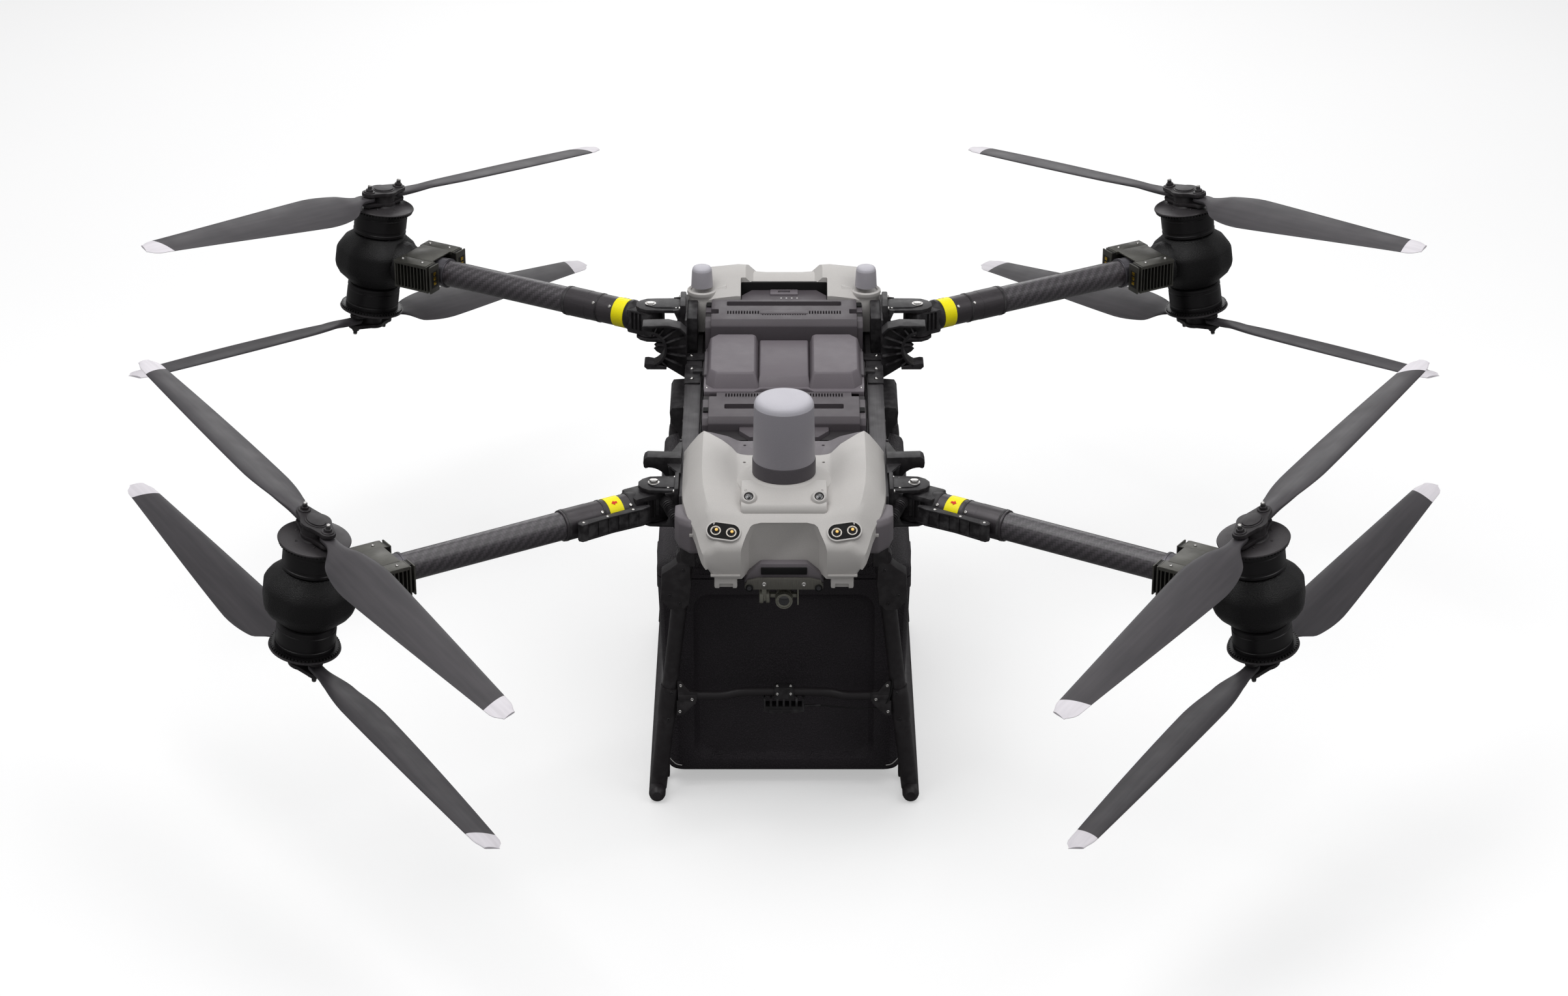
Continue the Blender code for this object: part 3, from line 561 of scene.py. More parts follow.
def blade_station(along, points=28):
    radius = along + BLADE_PIN
    share = max(0.0, min(1.0, (along - TWIST_START) / (BLADE_REACH - TWIST_START)))
    shape = smooth(along, 0.014, 0.075)
    pitch = math.radians(ROOT_PITCH - PITCH_LOSS * share) * smooth(along, 0.018, 0.085)
    thickness = 0.0115 - 0.0072 * share
    chord = blade_chord(radius) * (1.0 - 0.42 * smooth(share, 0.945, 1.0) ** 2)
    rake = -0.34 * smooth(share, 0.9, 1.0)
    width = 2 * math.sqrt(max(0.0, 0.0135 ** 2 - min(0.0, along) ** 2)) if along < 0 else 0.027
    width = max(width, 0.006)
    ring = []
    for i in range(points):
        turn = 2 * math.pi * (i + 0.5) / points
        bar_y, bar_z = root_section(width, 0.01, turn)
        wing_y, wing_z = wing_section(chord, thickness, turn)
        y = bar_y + (wing_y - bar_y) * shape + BLADE_ADVANCE * smooth(along, 0.02, 0.17)
        z = bar_z + (wing_z - bar_z) * shape
        turned_y = y * math.cos(pitch) - z * math.sin(pitch)
        turned_z = y * math.sin(pitch) + z * math.cos(pitch)
        ring.append((along + rake * y, turned_y, turned_z))
    return ring


def blade_stations():
    values = [-0.0132, -0.0125, -0.0105, -0.0075, -0.003, 0.003, 0.01]
    for i in range(14):
        values.append(0.017 + 0.0085 * i)
    for i in range(26):
        values.append(0.142 + (BLADE_REACH * 0.93 - 0.142) * i / 25)
    for i in range(1, 8):
        values.append(BLADE_REACH * (0.93 + 0.07 * math.sin(math.pi / 2 * i / 7)))
    return values


def blade_mesh(lead, lift):
    rings = []
    for along in blade_stations():
        rings.append([Vector((x, lead * y, lift * z)) for x, y, z in blade_station(along)])
    return loft(rings)


def clamp_outline(centre=0.029, lobe=0.0155):
    """Round centre with a rounded lobe over each blade pin and waists between."""
    points = []
    for side in (0, 180):
        cx = BLADE_PIN * math.cos(math.radians(side))
        for step in range(13):
            x, y = polar(lobe, side - 90 + 15 * step)
            points.append((cx + x, y))
        points += [polar(centre, side + 50 + 10 * step) for step in range(9)]
    return points


def toothed(outer, inner, teeth, low, high):
    """Thin ring block whose rim is cut into square teeth."""
    outline = []
    for i in range(teeth):
        for share, radius in ((0.0, outer), (0.6, outer), (0.62, inner), (0.98, inner)):
            angle = 2 * math.pi * (i + share) / teeth
            outline.append((radius * math.cos(angle), radius * math.sin(angle)))
    return prism(outline, low, high)


def hub_parts():
    """Bell, flange, blade clamp and pin bolts about local Z, pod centre at the origin."""
    bell = lathe([
        (0.034, 0.0572), (0.0535, 0.0572), (0.0558, 0.0592), (0.0562, 0.064), (0.0548, 0.0652),
        (0.0548, 0.07), (0.056, 0.0712), (0.056, 0.0965), (0.0552, 0.0975), (0.0552, 0.1),
        (0.0562, 0.101), (0.0562, 0.108), (0.0545, 0.1088), (0.03, 0.109),
    ], 72)
    rim = toothed(0.0655, 0.0618, 60, 0.1083, 0.1136)
    disc = lathe([
        (0.04, 0.1128), (0.0655, 0.1128), (FLANGE_RADIUS, 0.1138), (FLANGE_RADIUS + 0.0003, 0.1152),
        (FLANGE_RADIUS - 0.0006, 0.1168), (0.0655, 0.1172), (0.05, 0.1182), (0.035, 0.1196), (0.02, 0.12),
    ], 96)
    parts = [(bell, "bell"), (rim, "bell"), (disc, "flange")]
    for i in range(6):
        spot = polar(0.0545, 20 + 60 * i)
        ring = lathe([(0.0026, 0.0), (0.0026, 0.0004), (0.0021, 0.0006), (0.0015, 0.0004)], 16)
        parts.append((moved(ring, at(*spot, 0.1172)), "hole"))
    for i in range(6):
        spot = polar(0.0385, 30 + 60 * i)
        parts.append((bolt(0.0026, 0.0016, *spot, 0.119), "clamp"))
    boss = lathe([(0.03, 0.1185), (0.0265, 0.1215), (0.0245, 0.126), (0.0245, 0.1462), (0.02, 0.1465)], 40)
    plate = prism(clamp_outline(), 0.1458, 0.1535, bevel=0.0012)
    under = prism(clamp_outline(0.027, 0.0142), 0.1232, 0.1302, bevel=0.001)
    cap = soften(prism(ellipse(0.0235, 0.0165, 36), 0.1528, 0.1572), 0.0014)
    step = soften(prism(ellipse(0.0265, 0.02, 36), 0.1528, 0.1548), 0.0006)
    parts += [(boss, "clamp"), (plate, "clamp"), (under, "clamp"), (step, "clamp"), (cap, "clamp")]
    for side in (-1, 1):
        x = side * BLADE_PIN
        collar = lathe([(0.0118, 0.153), (0.0118, 0.155), (0.0108, 0.1558), (0.006, 0.1558)], 32)
        nut = prism(ellipse(0.0078, 0.0078, 6), 0.1555, 0.1605, bevel=0.0006)
        stud = lathe([(0.0046, 0.16), (0.0046, 0.164), (0.004, 0.1645), (0.004, 0.1652), (0.0046, 0.1657)],
            20)
        tip = lathe([(0.004, 0.1655), (0.0043, 0.1672), (0.0036, 0.1688), (0.002, 0.1694)], 20)
        foot = lathe([(0.008, 0.119), (0.0092, 0.12), (0.0092, 0.1236), (0.007, 0.124)], 24)
        for mesh, look in ((collar, "clamp"), (nut, "clamp"), (stud, "black"), (tip, "steel"),
                (foot, "clamp")):
            parts.append((moved(mesh, at(x, 0, 0)), look))
    return parts


def rotor_place(corner, level):
    """World matrix of a rotor: Z away from the pod, X towards its first blade."""
    spin = JOINTS[f"rotor_spin_{corner}_{level}"]
    z_axis = Vector(spin["axis"]).normalized() * (1 if level == "upper" else -1)
    first = joint_at(f"blade_fold_{corner}_{level}_1")
    second = joint_at(f"blade_fold_{corner}_{level}_2")
    x_axis = (first - second).normalized()
    turn = Matrix((x_axis, z_axis.cross(x_axis), z_axis)).transposed().to_4x4()
    return Matrix.Translation(Vector(spin["pos_m"])) @ turn


def add_rotor(corner, level):
    place = rotor_place(corner, level)
    name = f"{corner}_{level}"
    make(f"rotor_hub_{name}", f"rotor_{name}", hub_parts(), place, [f"rotor_{name}"])
    row, column = corner.split("_")
    side = 1 if column == "right" else -1
    spin = side * UPPER_SPIN[row] * (1 if level == "upper" else -1)
    lead = spin if level == "upper" else -spin
    lift = 1 if level == "upper" else -1
    for number, turn in ((1, 0.0), (2, math.pi)):
        node = f"blade_{name}_{number}"
        spot = place @ Matrix.Rotation(turn, 4, "Z") @ at(BLADE_PIN, 0, BLADE_PLANE)
        make(f"{node}_skin", node, [(blade_mesh(lead, lift), "blade")], spot, [node], 60.0)


for rotor_corner in CORNERS:
    for rotor_level in ("upper", "lower"):
        add_rotor(rotor_corner, rotor_level)

# ---------------------------------------------------------------- arms

TUBE_RADIUS = 0.0275
SLEEVE_RADIUS = 0.0305
SLEEVE_END = 0.205
COLLAR_START = 0.19
FRONT_BAND = (0.08, 0.11)
REAR_BAND = (0.051, 0.079)
FRONT_NECK = ((0.016, 0.02, 0.021), (0.03, 0.0225, 0.0245), (0.04, 0.0285, 0.0285), (0.048, 0.0315, 0.0315),
    (0.06, 0.0315, 0.0315), (0.062, 0.0305, 0.0305))
REAR_NECK = ((0.013, 0.02, 0.019), (0.026, 0.0225, 0.0225), (0.034, 0.0285, 0.0255), (0.042, 0.0315, 0.0315),
             (0.048, 0.0315, 0.0315), (0.05, 0.0305, 0.0305))
REAR_HINGE_SHARE = 0.8  # height of the upper half of a rear hinge against a front one
FRONT_LEVER_RISE = 0.01
BARREL_SEGMENTS = 64
FACET_DEPTH = 0.966  # distance of a motor barrel facet from the axis, against the radius
ESC_TOP = 0.0345
ESC_FINS = 9
KNUCKLE_HALF = 0.031
TOW = 0.0052  # width of one woven tow


def arm_place(corner):
    """World matrix of an arm, X outward along the tube and Z its upper side, and the tube's length."""
    hinge = joint_at(f"arm_fold_{corner}")
    pod = joint_at(f"rotor_spin_{corner}_upper")
    x_axis = (pod - hinge).normalized()
    z_axis = (Vector((0, 0, 1)) - x_axis * x_axis.z).normalized()
    turn = Matrix((x_axis, z_axis.cross(x_axis), z_axis)).transposed().to_4x4()
    return Matrix.Translation(hinge) @ turn, (pod - hinge).length


def tube(start, end, radius, segments=40, bevel=0.001):
    return rod((start, 0, 0), (end, 0, 0), radius, segments, bevel)


def woven_tube(start, end, radius, segments=48):
    """Tube along X with a UV map in tow widths."""
    mesh = bmesh.new()
    uv_layer = mesh.loops.layers.uv.new("weave")
    rows = []
    for x in (start, end):
        row = []
        for i in range(segments):
            angle = 2 * math.pi * i / segments
            row.append(mesh.verts.new((x, radius * math.cos(angle), radius * math.sin(angle))))
        rows.append(row)
    around = round(2 * math.pi * radius / TOW / 4) * 4
    for i in range(segments):
        j = (i + 1) % segments
        face = mesh.faces.new((rows[0][i], rows[0][j], rows[1][j], rows[1][i]))
        values = ((i, start), (i + 1, start), (i + 1, end), (i, end))
        for loop, (step, x) in zip(face.loops, values):
            loop[uv_layer].uv = (around * step / segments, x / TOW)
    mesh.faces.new(rows[0][::-1])
    mesh.faces.new(rows[1])
    return outward(mesh)


def band(start, end, radius, low_turn=0.0, high_turn=360.0, thick=0.0006, segments=48):
    """Thin sleeve round the arm, or part of one, between two angles from straight up."""
    count = max(2, int(segments * (high_turn - low_turn) / 360))
    inner_rings = []
    for x, radius_here in ((start, radius), (start, radius + thick), (end, radius + thick), (end, radius)):
        ring = []
        for i in range(count + 1):
            angle = math.radians(low_turn + (high_turn - low_turn) * i / count)
            ring.append(Vector((x, radius_here * math.sin(angle), radius_here * math.cos(angle))))
        inner_rings.append(ring)
    mesh = bmesh.new()
    rows = [[mesh.verts.new(p) for p in ring] for ring in inner_rings]
    for k in range(4):
        first, second = rows[k], rows[(k + 1) % 4]
        for i in range(count):
            mesh.faces.new((first[i], first[i + 1], second[i + 1], second[i]))
    mesh.faces.new([row[0] for row in rows][::-1])
    mesh.faces.new([row[-1] for row in rows])
    return outward(mesh)


def arrow_on_band(centre, radius, turn, size):
    """Small arrow wrapped on the arm, pointing along +X."""
    outline = [(-0.9, -0.35), (0.05, -0.35), (0.05, -0.85), (1.0, 0.0), (0.05, 0.85), (0.05, 0.35),
        (-0.9, 0.35)]
    rings = []
    for lift in (0.0004, 0.001):
        ring = []
        for u, v in outline:
            angle = math.radians(turn) + v * size / radius
            reach = radius + lift
            ring.append(Vector((centre + u * size, reach * math.sin(angle), reach * math.cos(angle))))
        rings.append(ring)
    return loft(rings)


def sleeve_parts(corner, side_sign):
    """Satin sleeve with its steps, clamp band, marker band and the neck up to the fold knuckle."""
    front = corner.startswith("front")
    parts = [
        (tube(0.046 if front else 0.044, 0.118, SLEEVE_RADIUS - 0.0008), "sleeve"),
        (tube(0.114, 0.15, SLEEVE_RADIUS - 0.0004), "sleeve"),
        (tube(0.146, SLEEVE_END, SLEEVE_RADIUS), "sleeve"),
        (band(0.1175, 0.1215, SLEEVE_RADIUS - 0.0006, thick=0.001), "black"),
        (band(0.196, 0.2, SLEEVE_RADIUS - 0.0002, thick=0.0008), "black"),
    ]
    start, end = FRONT_BAND if front else REAR_BAND
    middle = (start + end) / 2
    parts.append((band(start, end, SLEEVE_RADIUS - 0.0008, thick=0.0009), "yellow"))
    if front:
        parts.append((arrow_on_band(middle, SLEEVE_RADIUS, side_sign * 28.0, 0.0062), "red"))
    else:
        for i in (-1, 1):
            parts.append((band(middle + 0.004 * i - 0.0006, middle + 0.004 * i + 0.0006, SLEEVE_RADIUS,
                               side_sign * 28.0 - 12, side_sign * 28.0 + 12, 0.0005, 90), "black"))
    neck = loft([
        [Vector((x, y, z)) for y, z in ellipse(half, tall, 32)]
        for x, half, tall in (FRONT_NECK if front else REAR_NECK)
    ])
    parts.append((neck, "black"))
    for x in (0.064 if front else 0.086, 0.126):
        for turn in (-52, 52):
            angle = math.radians(turn)
            seat = Vector((x, 0.0292 * math.sin(angle), 0.0292 * math.cos(angle)))
            parts.append((moved(screw(0.0038, 0.0026), Matrix.Translation(seat) @ aim((0, seat.y, seat.z))),
                "steel"))
    return parts


def add_arm_skin(corner):
    place, length = arm_place(corner)
    side_sign = 1 if (place.to_3x3() @ Vector((0, 1, 0))).y * (-1 if corner.startswith("front")
        else 1) > 0 else -1
    local_axis = place.to_3x3().inverted() @ Vector((0, 0, 1))
    share = 1.0 if corner.startswith("front") else REAR_HINGE_SHARE
    knuckle = rod(-local_axis * KNUCKLE_HALF, local_axis * KNUCKLE_HALF * share, 0.0265, 40, 0.0015)
    ring_low = rod(-local_axis * 0.0305, -local_axis * 0.0265, 0.0275, 40, 0.0006)
    ring_high = rod(local_axis * 0.0265 * share, local_axis * 0.0305 * share, 0.0275, 40, 0.0006)
    parts = sleeve_parts(corner, side_sign)
    parts += [(knuckle, "black"), (ring_low, "sleeve"), (ring_high, "sleeve")]
    reach = 0.056 if share == 1.0 else 0.042
    step = 0.013 if share == 1.0 else 0.0095
    block = cut(box((-0.0185, -0.0285, -0.029), (reach, 0.0285, 0.029 * share), 0.006),
        [box((0.004 + step * i, y - 0.01, -0.019), (0.0005 + step * (i + 1), y + 0.01, 0.019), 0.0015)
        for i in range(3) for y in (-0.0345, 0.0345)])
    parts.append((block, "black"))
    make(f"arm_sleeve_{corner}", f"arm_{corner}", parts, place, [f"arm_tube_{corner}"])
    weave = [(woven_tube(SLEEVE_END - 0.004, length - COLLAR_START + 0.004, TUBE_RADIUS), "carbon")]
    make(f"carbon_tube_{corner}", f"arm_{corner}", weave, place)


def barrel_ring(radius, z, flats, turn):
    """Circle whose sides are flattened into eight soft facets."""
    ring = []
    for i in range(BARREL_SEGMENTS):
        angle = 2 * math.pi * i / BARREL_SEGMENTS
        within = ((angle + math.pi / 8) % (math.pi / 4)) - math.pi / 8
        flat = radius * FACET_DEPTH / math.cos(within)
        reach = radius + (min(radius, flat) - radius) * flats
        ring.append(Vector((reach * math.cos(angle + turn), reach * math.sin(angle + turn), z)))
    return ring


def barrel_mesh():
    stations = [
        (0.046, -0.056, 0.0), (0.0535, -0.0556, 0.0), (0.0565, -0.0535, 0.0), (0.06, -0.0495, 0.2),
        (0.077, -0.036, 0.8), (0.085, -0.0235, 1.0), (0.0872, -0.016, 1.0), (0.0878, -0.011, 1.0),
        (0.0878, 0.015, 1.0), (0.0872, 0.02, 1.0), (0.085, 0.025, 1.0), (0.077, 0.037, 0.8),
        (0.0625, 0.048, 0.3), (0.058, 0.0525, 0.0), (0.0545, 0.0553, 0.0), (0.046, 0.056, 0.0),
    ]
    return loft([barrel_ring(radius, z, flats, math.pi / 8) for radius, z, flats in stations])


def add_pod_skin(corner):
    """Motor barrel, its neck to the arm and the metal collar that grips the tube."""
    place, length = arm_place(corner)
    normal = Vector(JOINTS[f"rotor_spin_{corner}_upper"]["axis"])
    local = place.to_3x3().inverted()
    turn = aim(local @ normal, (1, 0, 0))
    centre = at(length, 0, 0) @ turn
    parts = [(moved(barrel_mesh(), centre), "pod")]
    socket = loft([
        [Vector((length - back, half * math.cos(a), tall * math.sin(a))) for a in
         [math.pi / 16 + 2 * math.pi * i / 16 for i in range(16)]]
        for back, half, tall in ((0.06, 0.052, 0.046), (0.082, 0.048, 0.042), (0.09, 0.04, 0.037),
                                 (0.096, 0.036, 0.0345))
    ])
    parts.append((soften(socket, 0.002), "pod"))
    parts.append((tube(length - COLLAR_START + 0.0006, length - 0.088, SLEEVE_RADIUS, 48, 0.0015), "collar"))
    parts.append((band(length - 0.1885, length - 0.184, SLEEVE_RADIUS - 0.0002, thick=0.0012), "collar"))
    for angle in (40, 140, 220, 320):
        spot = centre @ Matrix.Rotation(math.radians(angle), 4, "Z") @ at(0.0795, 0, -0.0285)
        lean = spot @ Matrix.Rotation(math.radians(118), 4, "Y")
        parts.append((moved(lathe([(0.0042, 0.0), (0.0042, 0.0012), (0.0034, 0.0018), (0.002, 0.0004)], 20),
            lean), "hole"))
    for sign in (-1, 1):
        for angle in range(0, 360, 60):
            spot = centre @ Matrix.Rotation(math.radians(angle + 30), 4, "Z") @ at(0.05, 0, sign * 0.0556)
            flip = Matrix.Rotation(0 if sign > 0 else math.pi, 4, "X")
            parts.append((moved(screw(0.0024, 0.0012), spot @ flip), "black"))
    make(f"motor_barrel_{corner}", f"arm_{corner}", parts, place, [f"motor_pod_{corner}"])


def esc_half(near, far, side):
    """One finned speed controller beside the collar. side is +1 or -1 across the arm."""

    def block(x0, x1, y0, y1, z0, z1, bevel=0.0):
        low_y, high_y = sorted((side * y0, side * y1))
        return box((x0, low_y, z0), (x1, high_y, z1), bevel)

    top = ESC_TOP
    parts = [
        (block(near + 0.003, far - 0.002, 0.0325, 0.056, -0.025, top - 0.002), "esc_dark"),
        (block(near + 0.012, far, 0.0318, 0.065, top - 0.0075, top, 0.0014), "esc"),
        (block(near + 0.012, far, 0.033, 0.0646, -0.0262, -0.0225, 0.001), "esc"),
        (block(near, near + 0.0032, 0.033, 0.0655, -0.0262, top - 0.001, 0.001), "esc"),
        (block(near + 0.0085, near + 0.012, 0.033, 0.0655, -0.0262, top - 0.001, 0.0008), "esc"),
        (block(far - 0.004, far, 0.033, 0.064, -0.0262, top - 0.002, 0.001), "esc"),
    ]
    for i in range(ESC_FINS):
        x = near + 0.0175 + (far - near - 0.026) * i / (ESC_FINS - 1)
        parts.append((block(x - 0.001, x + 0.001, 0.053, 0.0648, -0.024, top - 0.006), "esc"))
    parts.append((block(near - 0.0008, near + 0.001, 0.04, 0.061, -0.015, 0.021, 0.0006), "esc_dark"))
    for i in range(3):
        z = -0.009 + 0.0105 * i
        parts.append((block(near - 0.0016, near, 0.046, 0.0545, z, z + 0.007, 0.0005), "gold"))
    for x in (near + 0.03, far - 0.014):
        parts.append((bolt(0.0032, 0.002, x, side * 0.05, top), "steel"))
    return parts


def add_esc_skin(corner):
    place, length = arm_place(corner)
    near = length - 0.186
    far = length - 0.092
    parts = []
    for side in (-1, 1):
        parts += esc_half(near, far, side)
    saddle_low = SLEEVE_RADIUS + 0.001
    parts.append((box((near + 0.016, -0.036, saddle_low), (far - 0.004, 0.036, saddle_low + 0.0035),
        0.0012), "esc"))
    make(f"speed_controllers_{corner}", f"arm_{corner}", parts, place, [f"esc_pair_{corner}"])


def add_lever_skin(corner):
    """Over-centre lever: a deep channel along the sleeve with a pivot lug and a latch tongue."""
    place, _ = arm_place(corner)
    pivot = place.inverted() @ joint_at(f"lock_lever_{corner}_turn")
    side = 1 if pivot.y > 0 else -1

    def outline(points):
        return [(x, side * y) for x, y in points]

    body = outline([(-0.144, -0.004), (-0.124, -0.0095), (-0.06, -0.008), (-0.02, -0.009), (0.0, -0.01),
        (0.01, -0.006), (0.0125, 0.002), (0.008, 0.0098), (-0.02, 0.008), (-0.06, 0.0055), (-0.124, 0.0085),
        (-0.144, 0.0035)])
    parts = [(prism(body, -0.0235, -0.02, bevel=0.0008), "black"),
        (prism(body, 0.0085, 0.0118, bevel=0.001), "black"), (prism(outline([(x, y * 0.55) for x,
        y in [(p[0], p[1] * side) for p in body]]), -0.021, 0.01), "black"),]
    for i in range(5):
        x = -0.12 + 0.022 * i
        low_y, high_y = sorted((side * -0.0062, side * 0.0062))
        parts.append((box((x, low_y, -0.0205), (x + 0.0022, high_y, 0.0092)), "black"))
    lug = lathe([(0.009, -0.0238), (0.01, -0.023), (0.01, 0.0112), (0.009, 0.012)], 32)
    parts.append((lug, "black"))
    for x, z in ((0.0, 0.0112), (-0.052, 0.0112), (-0.108, 0.0112)):
        parts.append((bolt(0.0036, 0.0022, x, 0, z), "steel"))
    rise = FRONT_LEVER_RISE if corner.startswith("front") else 0.0
    spot = place @ Matrix.Translation(pivot) @ at(0, 0, rise)
    make(f"lever_{corner}", f"lock_lever_{corner}", parts, spot, [f"lock_lever_{corner}"])


def add_root_skin(corner):
    """Fixed bracket of the fold hinge: foot on the rail, two cheeks, hinge bolt heads and gussets."""
    hinge = joint_at(f"arm_fold_{corner}")
    side = 1 if hinge.x > 0 else -1
    facing = Matrix.Identity(4) if side > 0 else Matrix.Rotation(math.pi, 4, "Z")
    reach_in = 0.2016 - abs(hinge.x)
    foot_depth = 0.014 if corner.startswith("front") else 0.02
    plate = [(reach_in + 0.004, -0.034), (-0.01, -0.0325), (0.008, -0.031), (0.022, -0.021),
        (0.0295, -0.008), (0.0295, 0.008), (0.022, 0.021), (0.008, 0.031), (-0.01, 0.0325),
        (reach_in + 0.004, 0.034)]
    parts = [(box((reach_in, -0.0395, -0.0455), (reach_in + foot_depth * 0.6, 0.0395, 0.0455), 0.003),
        "black")]
    top_drop = 0.0 if corner.startswith("front") else KNUCKLE_HALF * (1.0 - REAR_HINGE_SHARE)
    for level in (-1, 1):
        drop = top_drop if level > 0 else 0.0
        low, high = sorted((level * 0.0322 - drop, level * 0.0388 - drop))
        parts.append((prism(plate, low, high, bevel=0.0014), "black"))
        rim = [(x * 0.72 + reach_in * 0.22, y * 0.66) for x, y in plate]
        low, high = sorted((level * 0.0384 - drop, level * 0.0408 - drop))
        parts.append((prism(rim, low, high, bevel=0.0008), "black"))
        head = prism(ellipse(0.0085, 0.0085, 6), *sorted((level * 0.04 - drop, level * 0.0462 - drop *
            1.5)), bevel=0.0008)
        washer = lathe([(0.0115, 0.0), (0.0115, 0.0012), (0.0105, 0.0016)], 28)
        flip = Matrix.Identity(4) if level > 0 else Matrix.Rotation(math.pi, 4, "X")
        parts.append((head, "steel"))
        parts.append((moved(washer, at(0, 0, level * 0.04 - drop) @ flip), "steel"))
        for y in (-0.02, 0.02):
            seat = at(reach_in + 0.02, y, level * 0.0386 - drop) @ flip
            parts.append((moved(screw(0.0034, 0.0022), seat), "steel"))
        for y in (-0.031, 0.031):
            parts.append((moved(screw(0.004, 0.003), at(reach_in + foot_depth * 0.6, y, level * 0.036)
                                @ Matrix.Rotation(math.pi / 2, 4, "Y")), "steel"))
    for y in (-0.036, 0.036):
        low_y, high_y = sorted((y, y - math.copysign(0.004, y)))
        gusset = prism([(reach_in + 0.003, -0.036), (reach_in + 0.026, -0.033), (reach_in + 0.012, 0.0),
                        (reach_in + 0.026, 0.033), (reach_in + 0.003, 0.036)], low_y, high_y, "Y")
        parts.append((gusset, "black"))
    spot = Matrix.Translation(hinge) @ facing
    make(f"hinge_bracket_{corner}", "airframe", parts, spot, [f"arm_root_{corner}"])


for arm_corner in CORNERS:
    add_arm_skin(arm_corner)
    add_pod_skin(arm_corner)
    add_esc_skin(arm_corner)
    add_lever_skin(arm_corner)
    add_root_skin(arm_corner)


# ---------------------------------------------------------------- nose cowl, dome and the parts around them

BODY_PLACE = Matrix.Translation(SHIFT)
DOME_Y = -0.37
FACET_NORMAL = (0.0, -0.58, 0.815)  # out of the upper facet of the cowl's cheeks


def cowl_contour(y, bottom_half, half, low, side_z, shoulder, middle):
    """Closed cross-section of the nose cowl: bottom, rounded sides, crest of each shoulder, valley between."""
    right = [(bottom_half - 0.02, low), (bottom_half - 0.006, low + 0.003), (bottom_half, low + 0.012),
        (bottom_half + 0.55 * (half - bottom_half), (low + side_z) / 2), (half, side_z - 0.022),
        (half - 0.0008, side_z), (0.93 * half, shoulder - 0.6 * (shoulder - side_z)),
        (0.85 * half, shoulder - 0.17 * (shoulder - side_z)), (0.8 * half, shoulder),
        (0.73 * half, shoulder - 0.002), (0.56 * half, (shoulder + middle) / 2),
        (0.47 * half, middle + 0.002), (0.43 * half, middle), (0.2 * half, middle),]
    left = [(-x, z) for x, z in reversed(right)]
    return [Vector((x, y, z)) for x, z in (*right, *left)]


COWL_STATIONS = [
    (-0.2, 0.15, 0.193, 0.612, 0.744, 0.788, 0.768), (-0.203, 0.152, 0.195, 0.611, 0.746, 0.791, 0.77),
    (-0.3, 0.15, 0.195, 0.62, 0.752, 0.8, 0.769), (-0.38, 0.148, 0.195, 0.624, 0.752, 0.795, 0.765),
    (-0.43, 0.146, 0.192, 0.625, 0.746, 0.785, 0.761), (-0.47, 0.144, 0.184, 0.627, 0.737, 0.772, 0.757),
    (-0.49, 0.143, 0.176, 0.63, 0.73, 0.762, 0.752), (-0.5, 0.142, 0.171, 0.632, 0.724, 0.754, 0.747),
    (-0.508, 0.142, 0.167, 0.633, 0.718, 0.745, 0.741), (-0.53, 0.14, 0.16, 0.637, 0.703, 0.726, 0.724),
    (-0.543, 0.138, 0.155, 0.64, 0.694, 0.714, 0.713), (-0.548, 0.136, 0.151, 0.642, 0.689, 0.707, 0.706),
    (-0.55, 0.133, 0.147, 0.645, 0.684, 0.699, 0.698),
]


def cowl_trim_cutter():
    """The dark rear panel of the cowl lies inside this outline, seen from above."""
    outline = [(-0.24, -0.18), (-0.156, -0.2005), (-0.09, -0.262), (-0.07, -0.268), (0.0, -0.27),
        (0.07, -0.268), (0.09, -0.262), (0.156, -0.2005), (0.24, -0.18)]
    return prism(outline, 0.7, 0.86)


def facet_place(x, y, z, roll=0.0, normal=FACET_NORMAL):
    """Place on a forward-facing facet: local X across the aircraft, local Z out of the facet."""
    z_axis = Vector(normal).normalized()
    x_axis = (Vector((1, 0, 0)) - z_axis * z_axis.x).normalized()
    turn = Matrix((x_axis, z_axis.cross(x_axis), z_axis)).transposed().to_4x4()
    return at(x, y, z) @ turn @ Matrix.Rotation(math.radians(roll), 4, "Z")


def capsule(length, height, low, high, bevel=0.0):
    outline = []
    reach = (length - height) / 2
    for i in range(28):
        angle = 2 * math.pi * i / 28 - math.pi / 2 + math.pi / 28
        side = reach if math.cos(angle) > 0 else -reach
        outline.append((side + height / 2 * math.cos(angle), height / 2 * math.sin(angle)))
    return prism(outline, low, high, bevel=bevel)


def headlight_parts(side):
    """Black capsule window with two round lamps, each a steel reflector round a warm core. The reflector is
    made to glow: a painted reflection of the lamp.
    """
    place = facet_place(side * 0.1135, -0.5245, 0.7285, side * 9.0)
    parts = [(moved(capsule(0.0625, 0.0345, -0.006, 0.003, 0.0008), place), "hole")]
    parts.append((moved(cut(capsule(0.067, 0.039, -0.01, 0.004, 0.001),
        [capsule(0.0615, 0.0335, -0.012, 0.008)]), place), "cowl"))
    for x in (-0.0148, 0.0148):
        seat = place @ at(x, -0.0005, 0.0028)
        parts.append((moved(lathe([(0.0098, -0.002), (0.0098, 0.001), (0.0088, 0.0014), (0.008, 0.0003),
                                   (0.0044, -0.0004)], 28), seat), "reflector"))
        parts.append((moved(lathe([(0.003, -0.001), (0.003, 0.0009), (0.0024, 0.0019), (0.001, 0.0024)],
            20), seat @ at(0.001, 0.0022, 0)), "lamp"))
        for angle in range(0, 360, 60):
            arm = box((0.0046, -0.0004, -0.0005), (0.008, 0.0004, 0.001))
            parts.append((moved(arm, seat @ Matrix.Rotation(math.radians(angle + 15), 4, "Z")), "black"))
    return parts


